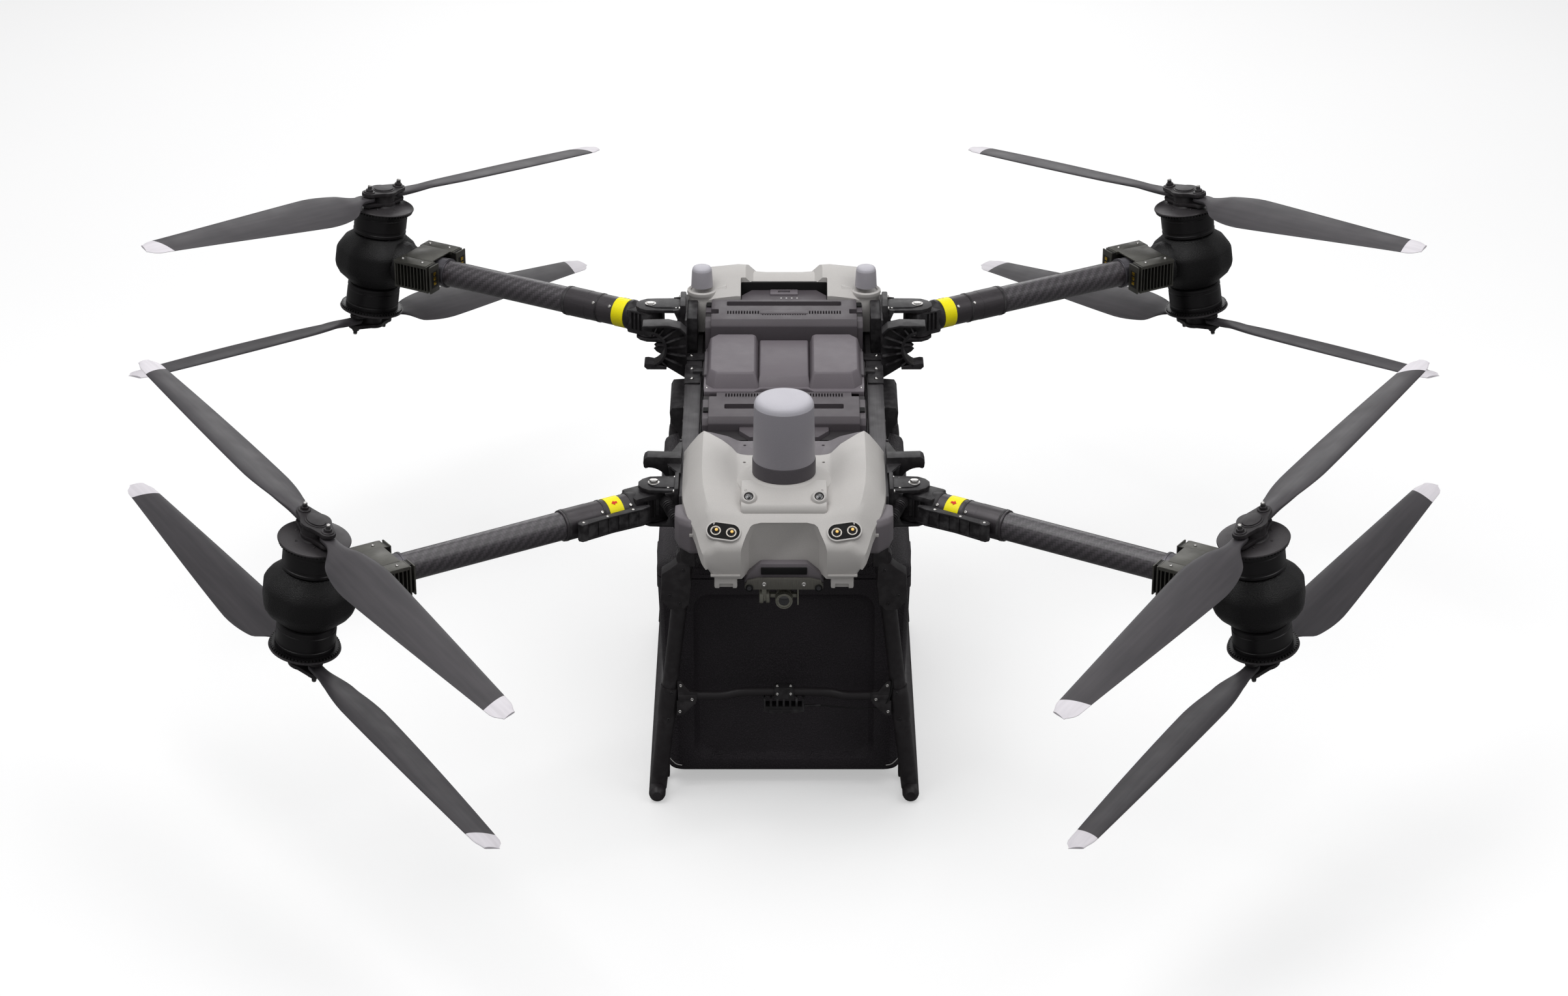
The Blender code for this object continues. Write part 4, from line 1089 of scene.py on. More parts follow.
def lens_bump_parts(side):
    """Round lens on a raised bump at a front corner of the plateau."""
    place = facet_place(side * 0.0665, -0.471, 0.7765, normal=(0.0, -0.55, 0.835))
    bump = lathe([(0.0175, -0.014), (0.016, -0.004), (0.0135, 0.001), (0.0115, 0.0024), (0.0092, 0.0022),
                  (0.0088, 0.0004)], 36)
    ring = lathe([(0.0088, -0.004), (0.0088, 0.0006), (0.007, 0.001), (0.0064, 0.0002)], 30)
    glass = lathe([(0.0062, -0.004), (0.0062, 0.0004), (0.004, 0.0012), (0.001, 0.0015)], 24)
    return [(moved(bump, place), "cowl"), (moved(ring, place), "hole"), (moved(glass, place), "glass")]


def cowl_screw(x, y, z, normal, material="steel", radius=0.003):
    return (moved(screw(radius, 0.0014), at(x, y, z) @ aim(normal)), material)


def add_nose_cowl():
    shell = loft([cowl_contour(*station) for station in COWL_STATIONS])
    recess = loft([[Vector((x, y, z)) for x, z in ((-wide, 0.6), (wide, 0.6), (wide, 0.7),
        (wide - 0.012, top - 0.006), (wide - 0.024, top), (-wide + 0.024, top),
        (-wide + 0.012, top - 0.006), (-wide, 0.7))] for y, wide, top in ((-0.6, 0.09, 0.768),
        (-0.545, 0.08, 0.76), (-0.516, 0.073, 0.75), (-0.507, 0.066, 0.738))])
    pockets = [recess]
    for side in (-1, 1):
        pockets.append(side_box(side, 0.166, 0.25, -0.3805, -0.15, 0.5, 0.7355))
        pockets.append(side_box(side, 0.16, 0.25, -0.42, -0.37, 0.5, 0.663))
        for x, y in ((0.076, -0.222), (0.076, -0.3), (0.072, -0.448)):
            pockets.append(rod((side * x, y, 0.74), (side * x, y, 0.83), 0.003, 16))
    light = cut(shell.copy(), [cowl_trim_cutter(), *[p.copy() for p in pockets]])
    dark = cut(cut(shell, [cowl_trim_cutter()], "INTERSECT"), pockets)
    dark.transform(at(0, 0, -0.0006))
    plateau = [(-0.4, 0.745), (-0.4, 0.7795), (-0.446, 0.7795), (-0.4855, 0.7665), (-0.4915, 0.757),
        (-0.492, 0.742)]
    boss = lathe([(0.1, 0.748), (0.09, 0.7665), (0.08, 0.7715), (0.0715, 0.7775), (0.0665, 0.7815),
        (0.062, 0.782)], 64)
    parts = [
        (light, "cowl"), (dark, "trim"), (prism(plateau, -0.0815, 0.0815, "X", 0.0045), "cowl"),
        (moved(boss, at(0, DOME_Y, 0)), "cowl"),
    ]
    for side in (-1, 1):
        parts += headlight_parts(side)
        parts += lens_bump_parts(side)
        tab = cut(side_box(side, 0.088, 0.131, -0.5475, -0.505, 0.6215, 0.65, 0.0035),
                  [side_box(side, 0.096, 0.122, -0.56, -0.54, 0.61, 0.632, 0.002)])
        parts.append((tab, "cowl"))
        parts.append((side_box(side, 0.082, 0.138, -0.552, -0.5, 0.6475, 0.652, 0.0015), "cowl"))
        parts.append(cowl_screw(side * 0.1905, -0.405, 0.722, (side, -0.1, 0.15)))
        parts.append(cowl_screw(side * 0.166, -0.505, 0.7, (side, -0.5, 0.2)))
        parts.append(cowl_screw(side * 0.072, -0.448, 0.779, (0, 0, 1), radius=0.0022))
    make("nose_cowl", "airframe", parts, BODY_PLACE, ["front_cowl"])


def add_nose_fittings():
    """Slot and plate under the nose, side scoops and the corrugated conduits to the arm hinges."""
    parts = [(prism([(-0.076, 0.622), (0.076, 0.622), (0.068, 0.64), (0.044, 0.662), (-0.044, 0.662),
        (-0.068, 0.64)], -0.524, -0.5, "Y", 0.004), "trim"), (box((-0.0435, -0.5275, 0.6405),
        (0.0435, -0.51, 0.6545), 0.0012), "hole"), (box((-0.132, -0.488, 0.62), (0.132, -0.3, 0.64), 0.006),
        "trim"),]
    for side in (-1, 1):
        scoop = loft([[Vector((side * x, y, z)) for y, z in ((yc - a, zc - b + 0.006),
            (yc - a + 0.006, zc - b), (yc + a, zc - b), (yc + a, zc + b), (yc - a + 0.008, zc + b),
            (yc - a, zc + b - 0.01))] for x, yc, zc, a, b in ((0.15, -0.455, 0.7, 0.04, 0.034),
            (0.178, -0.455, 0.7, 0.04, 0.034), (0.198, -0.447, 0.703, 0.034, 0.031),
            (0.207, -0.44, 0.708, 0.026, 0.024))])
        parts.append((soften(scoop, 0.004), "trim"))
        parts.append((side_box(side, 0.152, 0.1785, -0.498, -0.4945, 0.705, 0.711, 0.001), "cowl"))
        path = curve_points([(side * 0.19, -0.446, 0.694), (side * 0.2, -0.428, 0.699),
            (side * 0.214, -0.398, 0.711), (side * 0.228, -0.372, 0.722)], 22)
        parts.append((along_path(path, lambda share: 0.0102 + 0.0018 * math.cos(share * 2 * math.pi * 21),
            18), "black"))
    make("nose_fittings", "airframe", parts, BODY_PLACE)


def add_dome():
    band = lathe([(0.0605, 0.766), (0.0605, 0.8095), (0.06, 0.8105), (0.059, 0.811), (0.05, 0.811)], 72)
    shell = lathe([(0.058, 0.81), (0.0592, 0.8112), (0.0594, 0.8125), (0.0572, 0.919), (0.0568, 0.9215)],
        72)
    cap = lathe([(0.0568, 0.9214), (0.056, 0.926), (0.054, 0.9305), (0.0505, 0.9338), (0.045, 0.9356),
        (0.035, 0.9364), (0.02, 0.9369), (0.005, 0.937)], 72)
    # The cap on top takes the paler top grey: a painted highlight on the top face.
    parts = [(band, "dome_band"), (shell, "dome"), (cap, "painted_top_highlight")]
    make("nose_dome", "airframe", parts, BODY_PLACE @ at(0, DOME_Y, 0), ["radar_dome"])


CAMERA_Z = joint_at("gimbal_tilt").z - SHIFT.z
CAMERA_Y = -0.482


def add_gimbal():
    z = CAMERA_Z
    y = CAMERA_Y
    parts = [(box((-0.0745, y - 0.05, z + 0.036), (0.0745, y + 0.082, z + 0.046), 0.003), "plate"),
        (prism([(-0.0745, z + 0.0405), (-0.06, z + 0.036), (0.06, z + 0.036), (0.0745, z + 0.0405),
        (0.07, z + 0.054), (0.05, z + 0.059), (-0.05, z + 0.059), (-0.07, z + 0.054)], y - 0.0515, y -
        0.044, "Y", 0.0012), "plate"), (box((0.025, y - 0.016, z - 0.014), (0.028, y + 0.016, z + 0.038),
        0.0008), "camera"), (box((-0.042, y - 0.014, z), (-0.033, y + 0.014, z + 0.038), 0.001), "camera"),]
    motor = [(0.015, 0.0), (0.0165, 0.001), (0.0165, 0.0075), (0.013, 0.0085), (0.013, 0.0125),
        (0.016, 0.0135), (0.016, 0.019), (0.015, 0.02)]
    parts.append((moved(lathe(motor, 48), at(-0.047, y, z) @ Matrix.Rotation(math.pi / 2, 4, "Y")),
        "camera"))
    for x in (-0.0375, 0.0375):
        parts.append((bolt(0.0042, 0.0018, x, y - 0.0513, z + 0.0475, (0, -1, 0)), "steel"))
    for x in (-0.0655, 0.0655):
        eye = lathe([(0.0072, -0.004), (0.0072, 0.004), (0.0056, 0.005), (0.0048, 0.0036)], 28)
        glass = lathe([(0.0047, -0.002), (0.0047, 0.0038), (0.003, 0.0046)], 24)
        seat = at(x, y - 0.0505, z + 0.04) @ aim((0, -1, -0.1))
        parts += [(moved(eye, seat), "hole"), (moved(glass, seat.copy()), "glass")]
    make("gimbal_yoke", "airframe", parts, BODY_PLACE, ["gimbal_mount"])

    turn = at(0, y, z) @ aim((0, -1, 0))
    barrel = lathe([(0.013, -0.0175), (0.0155, -0.016), (0.016, -0.008), (0.016, 0.008), (0.015, 0.009),
        (0.015, 0.014), (0.0163, 0.015), (0.0163, 0.027), (0.0156, 0.029), (0.014, 0.0292), (0.0132, 0.027),
        (0.01, 0.0262)], 56)
    eye = lathe([(0.01, 0.024), (0.01, 0.0264), (0.007, 0.0278), (0.002, 0.0286)], 36)
    parts = [(moved(barrel, turn), "camera"), (moved(eye, turn.copy()), "glass")]
    for i in range(24):
        spin = Matrix.Rotation(2 * math.pi * i / 24, 4, "Z")
        parts.append((moved(box((0.0158, -0.0009, 0.0165), (0.017, 0.0009, 0.0225), 0.0003, 1), turn @
            spin), "camera"))
    for i in range(20):
        spin = Matrix.Rotation(2 * math.pi * i / 20, 4, "Z")
        parts.append((moved(box((0.0155, -0.001, -0.006), (0.0166, 0.001, 0.006), 0.0003, 1), turn @ spin),
            "plate"))
    parts.append((rod((-0.0268, y, z), (0.0248, y, z), 0.0055, 24, 0.0008), "camera"))
    make("gimbal_barrel", "gimbal_camera", parts, BODY_PLACE, ["gimbal_camera"])


add_nose_cowl()
add_nose_fittings()
add_dome()
add_gimbal()

# ---------------------------------------------------------------- deck: batteries, parachute pack, tail cowl

DECK_HALF = 0.1615
BATTERY_FLOOR = 0.5985
VENT_HEIGHTS = (0.69, 0.712, 0.734)  # of the slots in the tail cowl
VENT_TALL = 0.009
ANTENNA_X = 0.17
ANTENNA_Y = 0.437


def vent_row(x0, x1, y, z, count, depth=0.012):
    """Cutters for a row of short slots across the deck."""
    cutters = []
    step = (x1 - x0) / count
    for i in range(count):
        x = x0 + step * (i + 0.5)
        cutters.append(box((x - step * 0.28, y - depth / 2, z - 0.005),
            (x + step * 0.28, y + depth / 2, z + 0.01)))
    return cutters


def battery_shell(front, rear, floor, top):
    """Battery body with chamfered ends; front and rear are the faces along the deck."""
    outline = [(front, floor), (rear, floor), (rear, top - 0.012), (rear - 0.01, top), (front + 0.01, top),
               (front, top - 0.012)]
    mesh = prism(outline, -DECK_HALF + 0.012, DECK_HALF - 0.012, "X", 0.0022)
    wings = prism([(front + 0.006, floor), (rear - 0.006, floor), (rear - 0.006, top - 0.018),
        (rear - 0.016, top - 0.007), (front + 0.016, top - 0.007), (front + 0.006, top - 0.018)],
        -DECK_HALF, DECK_HALF, "X", 0.002)
    return cut(mesh, [wings], "UNION")


def led_row(count, x, y, z, step=0.011):
    parts = []
    for i in range(count):
        seat = at(x + step * i, y, z)
        parts.append((moved(lathe([(0.0016, -0.001), (0.0016, 0.0002), (0.0009, 0.0005)], 12), seat), "led"))
    return parts


def battery_parts(front, rear, top, slot_y, vent_y, tongue_y, tongue_top, toward):
    """One battery. toward is +1 when its latch tongue faces the tail and -1 when it faces the nose."""
    body = battery_shell(front, rear, BATTERY_FLOOR, top)
    cutters = [box((-0.118, slot_y - 0.0115, top - 0.02), (0.118, slot_y + 0.0115, top + 0.01), 0.004)]
    for x0, x1 in ((-0.118, -0.05), (0.05, 0.118)):
        cutters += vent_row(x0, x1, vent_y, top, 12, 0.017)
    cutters += vent_row(-0.046, 0.046, vent_y - toward * 0.0105, top, 18, 0.006)
    for side in (-1, 1):
        cutters.append(side_box(side, 0.134, 0.17, vent_y - 0.006, vent_y + 0.018, top - 0.02, top + 0.01,
            0.002))
    body = cut(body, cutters)
    low, high = sorted((tongue_y - toward * 0.075, tongue_y))
    tongue = prism([(-0.088, low), (0.088, low), (0.088, low + 0.001), (0.088, high - 0.03), (0.067, high),
        (-0.067, high), (-0.088, high - 0.03)] if toward > 0 else [(-0.067, low), (0.067, low),
        (0.088, low + 0.03), (0.088, high), (-0.088, high), (-0.088, low + 0.03)], BATTERY_FLOOR + 0.02,
        tongue_top, bevel=0.0022)
    grip_low, grip_high = sorted((tongue_y - toward * 0.03, tongue_y - toward * 0.004))
    grip = cut(box((-0.029, grip_low, tongue_top - 0.008), (0.029, grip_high, tongue_top + 0.0032), 0.0018),
               [box((-0.0125, (grip_low + grip_high) / 2 - 0.004, tongue_top - 0.004),
                    (0.0125, (grip_low + grip_high) / 2 + 0.006, tongue_top + 0.01), 0.001)])
    ledge = box((-0.049, vent_y - 0.0085, top - 0.004), (0.049, vent_y + 0.0085, top + 0.0012), 0.0012)
    # Dark bar down in the handle slot: painted shade in the slot.
    bar = box((-0.118, slot_y - toward * 0.009 - 0.0015, top - 0.016),
        (0.118, slot_y - toward * 0.009 + 0.0015, top - 0.01), 0.001)
    parts = [(body, "battery"), (tongue, "battery"), (grip, "pack"), (ledge, "battery"),
        (bar, "battery_dark")]
    parts.append((box((-0.01, (grip_low + grip_high) / 2 - 0.003, tongue_top - 0.003),
                      (0.01, (grip_low + grip_high) / 2 + 0.005, tongue_top + 0.0015), 0.001), "battery"))
    parts += led_row(4, -0.006, tongue_y - toward * 0.044, tongue_top)
    for side in (-1, 1):
        # Dark blocks in the side vent pockets: painted shade.
        parts.append((side_box(side, 0.137, 0.1605, vent_y - 0.004, vent_y + 0.016, top - 0.026, top -
            0.009, 0.0015), "battery_dark"))
        parts.append((side_box(side, 0.139, 0.16, slot_y + toward * 0.006 - 0.01, slot_y + toward * 0.006 +
            0.01, top - 0.012, top - 0.0035, 0.0015), "hole"))
    return parts


def add_batteries():
    rear = battery_parts(0.2805, 0.404, 0.8185, 0.373, 0.326, 0.46, 0.813, 1)
    for side in (-1, 1):
        rear.append((side_box(side, 0.02, 0.15, 0.2835, 0.302, 0.77, 0.8075, 0.003), "battery"))
    make("tail_battery", "battery_rear", rear, BODY_PLACE, ["battery_rear"])
    front = battery_parts(-0.107, 0.03, 0.7745, -0.048, 0.006, -0.154, 0.756, -1)
    # Dark block in the gap ahead of the front battery, under its tongue: painted shade.
    front.append((box((-DECK_HALF + 0.004, -0.15, BATTERY_FLOOR), (DECK_HALF - 0.004, -0.1, 0.748), 0.006),
        "battery_dark"))
    make("nose_battery", "battery_front", front, BODY_PLACE, ["battery_front"])


def add_parachute():
    base = prism([(-0.158, 0.033), (0.158, 0.033), (0.16, 0.04), (0.16, 0.264), (0.156, 0.2675),
        (-0.156, 0.2675), (-0.16, 0.264), (-0.16, 0.04)], 0.6405, 0.764, bevel=0.003)
    lip = prism([(-0.1595, 0.033), (-0.06, 0.033), (-0.046, 0.048), (0.046, 0.048), (0.06, 0.033),
        (0.1595, 0.033), (0.161, 0.06), (0.161, 0.12), (-0.161, 0.12), (-0.161, 0.06)], 0.76, 0.7705,
        bevel=0.0028)
    middle = loft([[Vector((x, y, z)) for x, y in ((-wide, rear), (-wide, front), (wide, front),
        (wide, rear))] for z, wide, front, rear in ((0.76, 0.058, 0.05, 0.262),
        (0.7705, 0.052, 0.056, 0.258), (0.786, 0.049, 0.072, 0.254), (0.788, 0.047, 0.076, 0.252))])
    parts = [(base, "battery"), (lip, "pack"), (soften(middle, 0.0018), "pack")]
    for side in (-1, 1):
        pad = loft([[Vector((side * x, y, z)) for x, y in ((inner, front + 0.004), (inner + 0.004, front),
            (outer - cut_x, front), (outer, front + cut_y), (outer, rear - cut_y), (outer - cut_x, rear),
            (inner + 0.004, rear), (inner, rear - 0.004))] for z, inner, outer, front, rear, cut_x,
            cut_y in ((0.764, 0.05, 0.157, 0.044, 0.266, 0.016, 0.022),
            (0.772, 0.0505, 0.1565, 0.048, 0.2655, 0.016, 0.022), (0.796, 0.057, 0.15, 0.06, 0.26, 0.014,
            0.018), (0.7995, 0.0605, 0.1465, 0.064, 0.256, 0.013, 0.016))])
        parts.append((soften(pad, 0.0016), "pack"))
        parts.append((side_box(side, 0.152, 0.1612, 0.105, 0.225, 0.742, 0.776, 0.003), "battery"))
        # Dark strip on the pack's side, below the side block: painted shade.
        parts.append((side_box(side, 0.16, 0.1645, 0.13, 0.2, 0.735, 0.764, 0.002), "battery_dark"))
        for y in (0.052, 0.248):
            parts.append((bolt(0.0028, 0.0016, side * 0.1545, y, 0.77), "steel"))
    make("canopy_pack", "airframe", parts, BODY_PLACE, ["parachute_pack"])


def tail_contour(y, half, low, high, crest, corner):
    """Cross-section of the tail cowl: two raised crests either side of a lower middle."""
    right = [(half - corner, low), (half - corner * 0.3, low + corner * 0.3), (half, low + corner),
        (half, high - corner), (half - corner * 0.3, high - corner * 0.3), (half - corner, high),
        (crest + 0.04, high + 0.004), (crest + 0.022, high + 0.006), (crest + 0.004, high + 0.005),
        (crest - 0.012, high - 0.01), (crest * 0.5, high - 0.012)]
    left = [(-x, z) for x, z in reversed(right)]
    return [Vector((x, y, z)) for x, z in (*right, *left)]


def add_tail_cowl():
    shell = loft([tail_contour(*station) for station in ((0.41, 0.16, 0.78, 0.814, 0.076, 0.014),
        (0.424, 0.166, 0.76, 0.822, 0.076, 0.016), (0.47, 0.18, 0.69, 0.836, 0.076, 0.022),
        (0.476, 0.196, 0.62, 0.838, 0.076, 0.026), (0.505, 0.192, 0.622, 0.842, 0.076, 0.03),
        (0.522, 0.184, 0.63, 0.84, 0.074, 0.032), (0.54, 0.172, 0.64, 0.832, 0.07, 0.034),
        (0.552, 0.158, 0.66, 0.812, 0.066, 0.034), (0.556, 0.146, 0.674, 0.8, 0.062, 0.03))])
    pockets = [box((-0.09, 0.38, 0.7), (0.09, 0.464, 0.9), 0.004), box((-0.165, 0.38, 0.7),
        (0.165, 0.407, 0.9))]
    for side in (-1, 1):
        pockets.append(side_box(side, 0.1645, 0.2055, 0.4, 0.5005, 0.6, 0.7355))
        for z in VENT_HEIGHTS:
            pockets.append(side_box(side, 0.06, 0.12, 0.545, 0.57, z, z + VENT_TALL, 0.002))
    shell = cut(shell, pockets)
    parts = [(shell, "cowl"), (box((-0.089, 0.461, 0.74), (0.089, 0.469, 0.829), 0.001), "hole"),
             (box((-0.089, 0.405, 0.73), (0.089, 0.465, 0.79), 0.001), "hole")]
    for side in (-1, 1):
        pedestal = lathe([(0.033, 0.742), (0.032, 0.79), (0.03, 0.806), (0.0288, 0.812), (0.03, 0.815),
            (0.0312, 0.819), (0.0306, 0.824), (0.027, 0.8262), (0.0235, 0.824), (0.023, 0.8215),
            (0.01, 0.821)], 48)
        parts.append((moved(pedestal, at(side * ANTENNA_X, ANTENNA_Y, 0)), "cowl"))
        bridge = loft([[Vector((side * x, y, z)) for y, z in ((0.428, low), (0.488, low),
            (0.488, high - 0.006), (0.48, high), (0.436, high), (0.428, high - 0.006))] for x, low,
            high in ((0.12, 0.745, 0.832), (0.146, 0.745, 0.826), (0.168, 0.745, 0.815),
            (0.192, 0.745, 0.802))])
        parts.append((cut(bridge, [rod((side * ANTENNA_X, ANTENNA_Y, 0.7),
            (side * ANTENNA_X, ANTENNA_Y, 0.9), 0.03, 40)]), "cowl"))
        parts.append((bolt(0.003, 0.002, side * 0.0805, 0.461, 0.7985, (0, -1, 0.2)), "steel"))
        parts.append((bolt(0.0034, 0.0018, side * 0.195, 0.492, 0.77, (side, 0, 0.1)), "steel"))
        for z in VENT_HEIGHTS:
            parts.append((side_box(side, 0.061, 0.119, 0.544, 0.546, z + 0.001, z + 0.008), "hole"))
    make("tail_cowl", "airframe", parts, BODY_PLACE, ["rear_cowl"])
    for name, side in (("left", -1), ("right", 1)):
        cap = lathe([(0.0225, 0.0), (0.0224, 0.004), (0.0208, 0.033), (0.0203, 0.035)], 48)
        top = lathe([(0.0203, 0.0349), (0.0196, 0.0385), (0.0178, 0.0412), (0.014, 0.043), (0.004, 0.0438)],
            48)
        seat = BODY_PLACE @ at(side * ANTENNA_X, ANTENNA_Y, 0.8326)
        # The rounded top takes the paler top grey: a painted highlight on the top face.
        make(f"antenna_cap_{name}", "airframe", [(cap, "antenna"), (top, "painted_top_highlight")], seat,
            [f"antenna_{name}"])


add_batteries()
add_parachute()
add_tail_cowl()

# ---------------------------------------------------------------- rails, clips, case, landing gear

RAIL_IN = 0.167
RAIL_OUT = 0.201
RAIL_TOP = 0.735
TRAY_BOTTOM = 0.585
CASE_FRONT = -0.335
CASE_REAR = 0.305
LID_TOP = 0.562
SKID_RADIUS = 0.0165
CROSSBAR_LIFT = 0.022
CRADLE_RADIUS = 0.035
CRADLE_X = 0.279
CRADLE_Z = 0.77
SKID_FRONT = -0.41
SKID_REAR = 0.385
SKID_NOSE = 0.012  # length of each rounded end of a skid
SKID_X = 0.2495
SKID_Z = 0.08 + SKID_RADIUS
FRONT_HIP = (0.184, -0.395, 0.646)
FRONT_KNEE = (0.196, -0.395, 0.56)
FRONT_FOOT = (0.248, -0.372, SKID_Z + 0.001)
REAR_HIP = (0.2175, 0.345, 0.606)
REAR_FOOT = (0.2515, 0.345, SKID_Z + 0.001)


def sided(outline, side):
    return [(side * x, z) for x, z in outline]


def rear_clip_parts(side):
    """Ribbed C-shaped cradle that the folded rear arm drops into."""

    def around(radius, degrees):
        x, z = polar(radius, degrees)
        return (CRADLE_X + x, CRADLE_Z + z)

    inner = [around(CRADLE_RADIUS, a) for a in range(255, 101, -14)]
    outline = [(0.199, 0.802), (0.214, 0.816), (0.236, 0.8225), (0.286, 0.821), (0.289, 0.815),
        (0.286, 0.808), *reversed(inner), (0.279, 0.74), (0.285, 0.7395), (0.286, 0.733), (0.28, 0.728),
        (0.24, 0.727), (0.199, 0.7)]
    web = prism(sided(outline, side), 0.2555, 0.262, "Y", 0.001)
    parts = [(web, "black")]
    arcs = [[around(reach, a) for a in range(104, 257, 9)] for reach in (CRADLE_RADIUS, 0.0404)]
    parts.append((prism(sided(arcs[0] + arcs[1][::-1], side), 0.243, 0.279, "Y", 0.0007), "black"))
    for angle in (112, 128, 144, 160, 176, 192, 208, 224):
        near = around(0.0385, angle)
        reach = 0.08 if 140 < angle < 215 else 0.054
        far_x = max(0.201, CRADLE_X + reach * math.cos(math.radians(angle)))
        grow = (far_x - CRADLE_X) / math.cos(math.radians(angle))
        far = (far_x, min(0.818, max(0.706, CRADLE_Z + grow * math.sin(math.radians(angle)))))
        across = Vector((-(far[1] - near[1]), far[0] - near[0])).normalized() * 0.0013
        rib = [(near[0] + across.x, near[1] + across.y), (far[0] + across.x, far[1] + across.y),
               (far[0] - across.x, far[1] - across.y), (near[0] - across.x, near[1] - across.y)]
        parts.append((prism(sided(rib, side), 0.245, 0.276, "Y"), "black"))
    top = [(0.199, 0.8), (0.214, 0.814), (0.236, 0.8195), (0.286, 0.818), (0.288, 0.8225), (0.236, 0.824),
        (0.211, 0.818), (0.199, 0.806)]
    parts.append((prism(sided(top, side), 0.243, 0.279, "Y", 0.0008), "black"))
    lip = [(0.24, 0.7265), (0.28, 0.7265), (0.286, 0.7325), (0.285, 0.7395), (0.278, 0.7402),
        (0.26, 0.7365), (0.24, 0.732)]
    parts.append((prism(sided(lip, side), 0.243, 0.279, "Y", 0.0012), "black"))
    foot = [(0.199, 0.702), (0.226, 0.7), (0.231, 0.69), (0.229, 0.668), (0.215, 0.645), (0.206, 0.61),
        (0.199, 0.605)]
    parts.append((prism(sided(foot, side), 0.11, 0.2556, "Y", 0.0015), "black"))
    return parts


def truss_parts(side):
    """Ribbed gusset block that carries the rear hinge bracket on its rail."""
    parts = [(side_box(side, 0.178, 0.2005, 0.31, 0.41, 0.725, 0.812, 0.003), "black"),
             (side_box(side, 0.1985, 0.203, 0.285, 0.425, 0.7, 0.818, 0.0015), "black")]
    outline = [(0.201, 0.7), (0.201, 0.74), (0.262, 0.748), (0.268, 0.742), (0.262, 0.735)]
    for y in (0.318, 0.338, 0.36, 0.382, 0.402):
        parts.append((prism(sided(outline, side), y - 0.002, y + 0.002, "Y", 0.0006), "black"))
    for i in range(4):
        y = 0.319 + 0.0205 * i
        slant = [(0.203, y), (0.206, y), (0.26, y + 0.019), (0.257, y + 0.019)]
        low, high = 0.705, 0.744
        parts.append((prism(sided(slant, side), low + 0.028, high, "Z"), "black"))
    parts.append((side_box(side, 0.201, 0.262, 0.316, 0.404, 0.744, 0.748, 0.001), "black"))
    for z in (0.73, 0.792):
        for y in (0.296, 0.416):
            parts.append((bolt(0.0034, 0.0022, side * 0.2028, y, z, (side, 0, 0)), "steel"))
    return parts


def front_clip_parts(side):
    """Bar with a hollow underside on a triangular web."""
    arc = [(0.262 - 0.037 * math.sin(math.radians(a)) * 1.0, 0.7 + 0.035 * math.cos(math.radians(a)))
           for a in range(0, 91, 10)]
    outline = [(0.199, 0.756), (0.264, 0.758), (0.27, 0.754), (0.2725, 0.745), (0.2715, 0.736),
        (0.268, 0.733), *arc, (0.219, 0.68), (0.199, 0.67)]
    parts = [(prism(sided(outline, side), -0.252, -0.222, "Y", 0.0016), "black")]
    web = [(0.199, -0.15), (0.206, -0.155), (0.227, -0.223), (0.227, -0.251), (0.206, -0.29),
        (0.199, -0.295)]
    parts.append((prism(sided(web, side), 0.739, 0.744, "Z", 0.001), "black"))
    wall = [(0.199, 0.742), (0.224, 0.742), (0.217, 0.7), (0.199, 0.67)]
    for y in (-0.262, -0.216, -0.196):
        parts.append((prism(sided(wall, side), y - 0.0018, y + 0.0018, "Y", 0.0005), "black"))
    for i in range(4):
        parts.append((side_box(side, 0.2, 0.205 + 0.001 * i, -0.128 - 0.014 * i, -0.121 - 0.014 * i, 0.724,
            0.737, 0.0012), "black"))
    return parts


def add_frame():
    parts = [(box((-RAIL_OUT, -0.195, TRAY_BOTTOM), (RAIL_OUT, 0.47, TRAY_BOTTOM + 0.012), 0.002), "black")]
    for side in (-1, 1):
        parts.append((side_box(side, RAIL_IN, RAIL_OUT, -0.38, 0.5, 0.662, RAIL_TOP, 0.003), "rail"))
        parts.append((side_box(side, RAIL_IN + 0.001, RAIL_OUT - 0.002, -0.19, 0.465, TRAY_BOTTOM + 0.001,
            0.665), "black"))
        parts.append((side_box(side, RAIL_IN - 0.0035, RAIL_IN + 0.004, -0.18, 0.47, 0.69, 0.725, 0.001),
            "black"))
        for y0, y1, inner in ((0.15, 0.24, 0.17), (0.268, 0.3, 0.164), (0.33, 0.4, 0.178)):
            parts.append((side_box(side, inner, RAIL_OUT + 0.001, y0, y1, 0.733, 0.7385, 0.0012), "black"))
        parts.append((side_box(side, 0.164, 0.185, 0.195, 0.215, 0.73, 0.744, 0.0015), "black"))
        for x, y in ((0.187, 0.17), (0.188, 0.22), (0.19, 0.286), (0.185, 0.35), (0.193, 0.385)):
            parts.append((bolt(0.004, 0.0024, side * x, y, 0.7384), "steel"))
        for y in (-0.105, -0.06, 0.02, 0.085):
            parts.append((bolt(0.003, 0.0018, side * (RAIL_OUT - 0.0002), y, 0.712, (side, 0, 0)), "steel"))
        skirt = [(-0.18, 0.662), (-0.18, 0.642), (-0.15, 0.622), (0.04, 0.618), (0.09, 0.63), (0.14, 0.618),
            (0.244, 0.622), (0.244, 0.668), (-0.18, 0.668)]
        low, high = sorted((side * (RAIL_OUT - 0.002), side * (RAIL_OUT + 0.003)))
        parts.append((prism(skirt, low, high, "X", 0.001), "black"))
        for y in (-0.12, 0.2):
            parts.append((side_box(side, 0.1, 0.13, y, y + 0.03, LID_TOP + 0.0004, TRAY_BOTTOM + 0.004,
                0.002), "black"))
        parts += rear_clip_parts(side)
        parts += truss_parts(side)
        parts += front_clip_parts(side)
    make("main_frame", "airframe", parts, BODY_PLACE, ["airframe"])


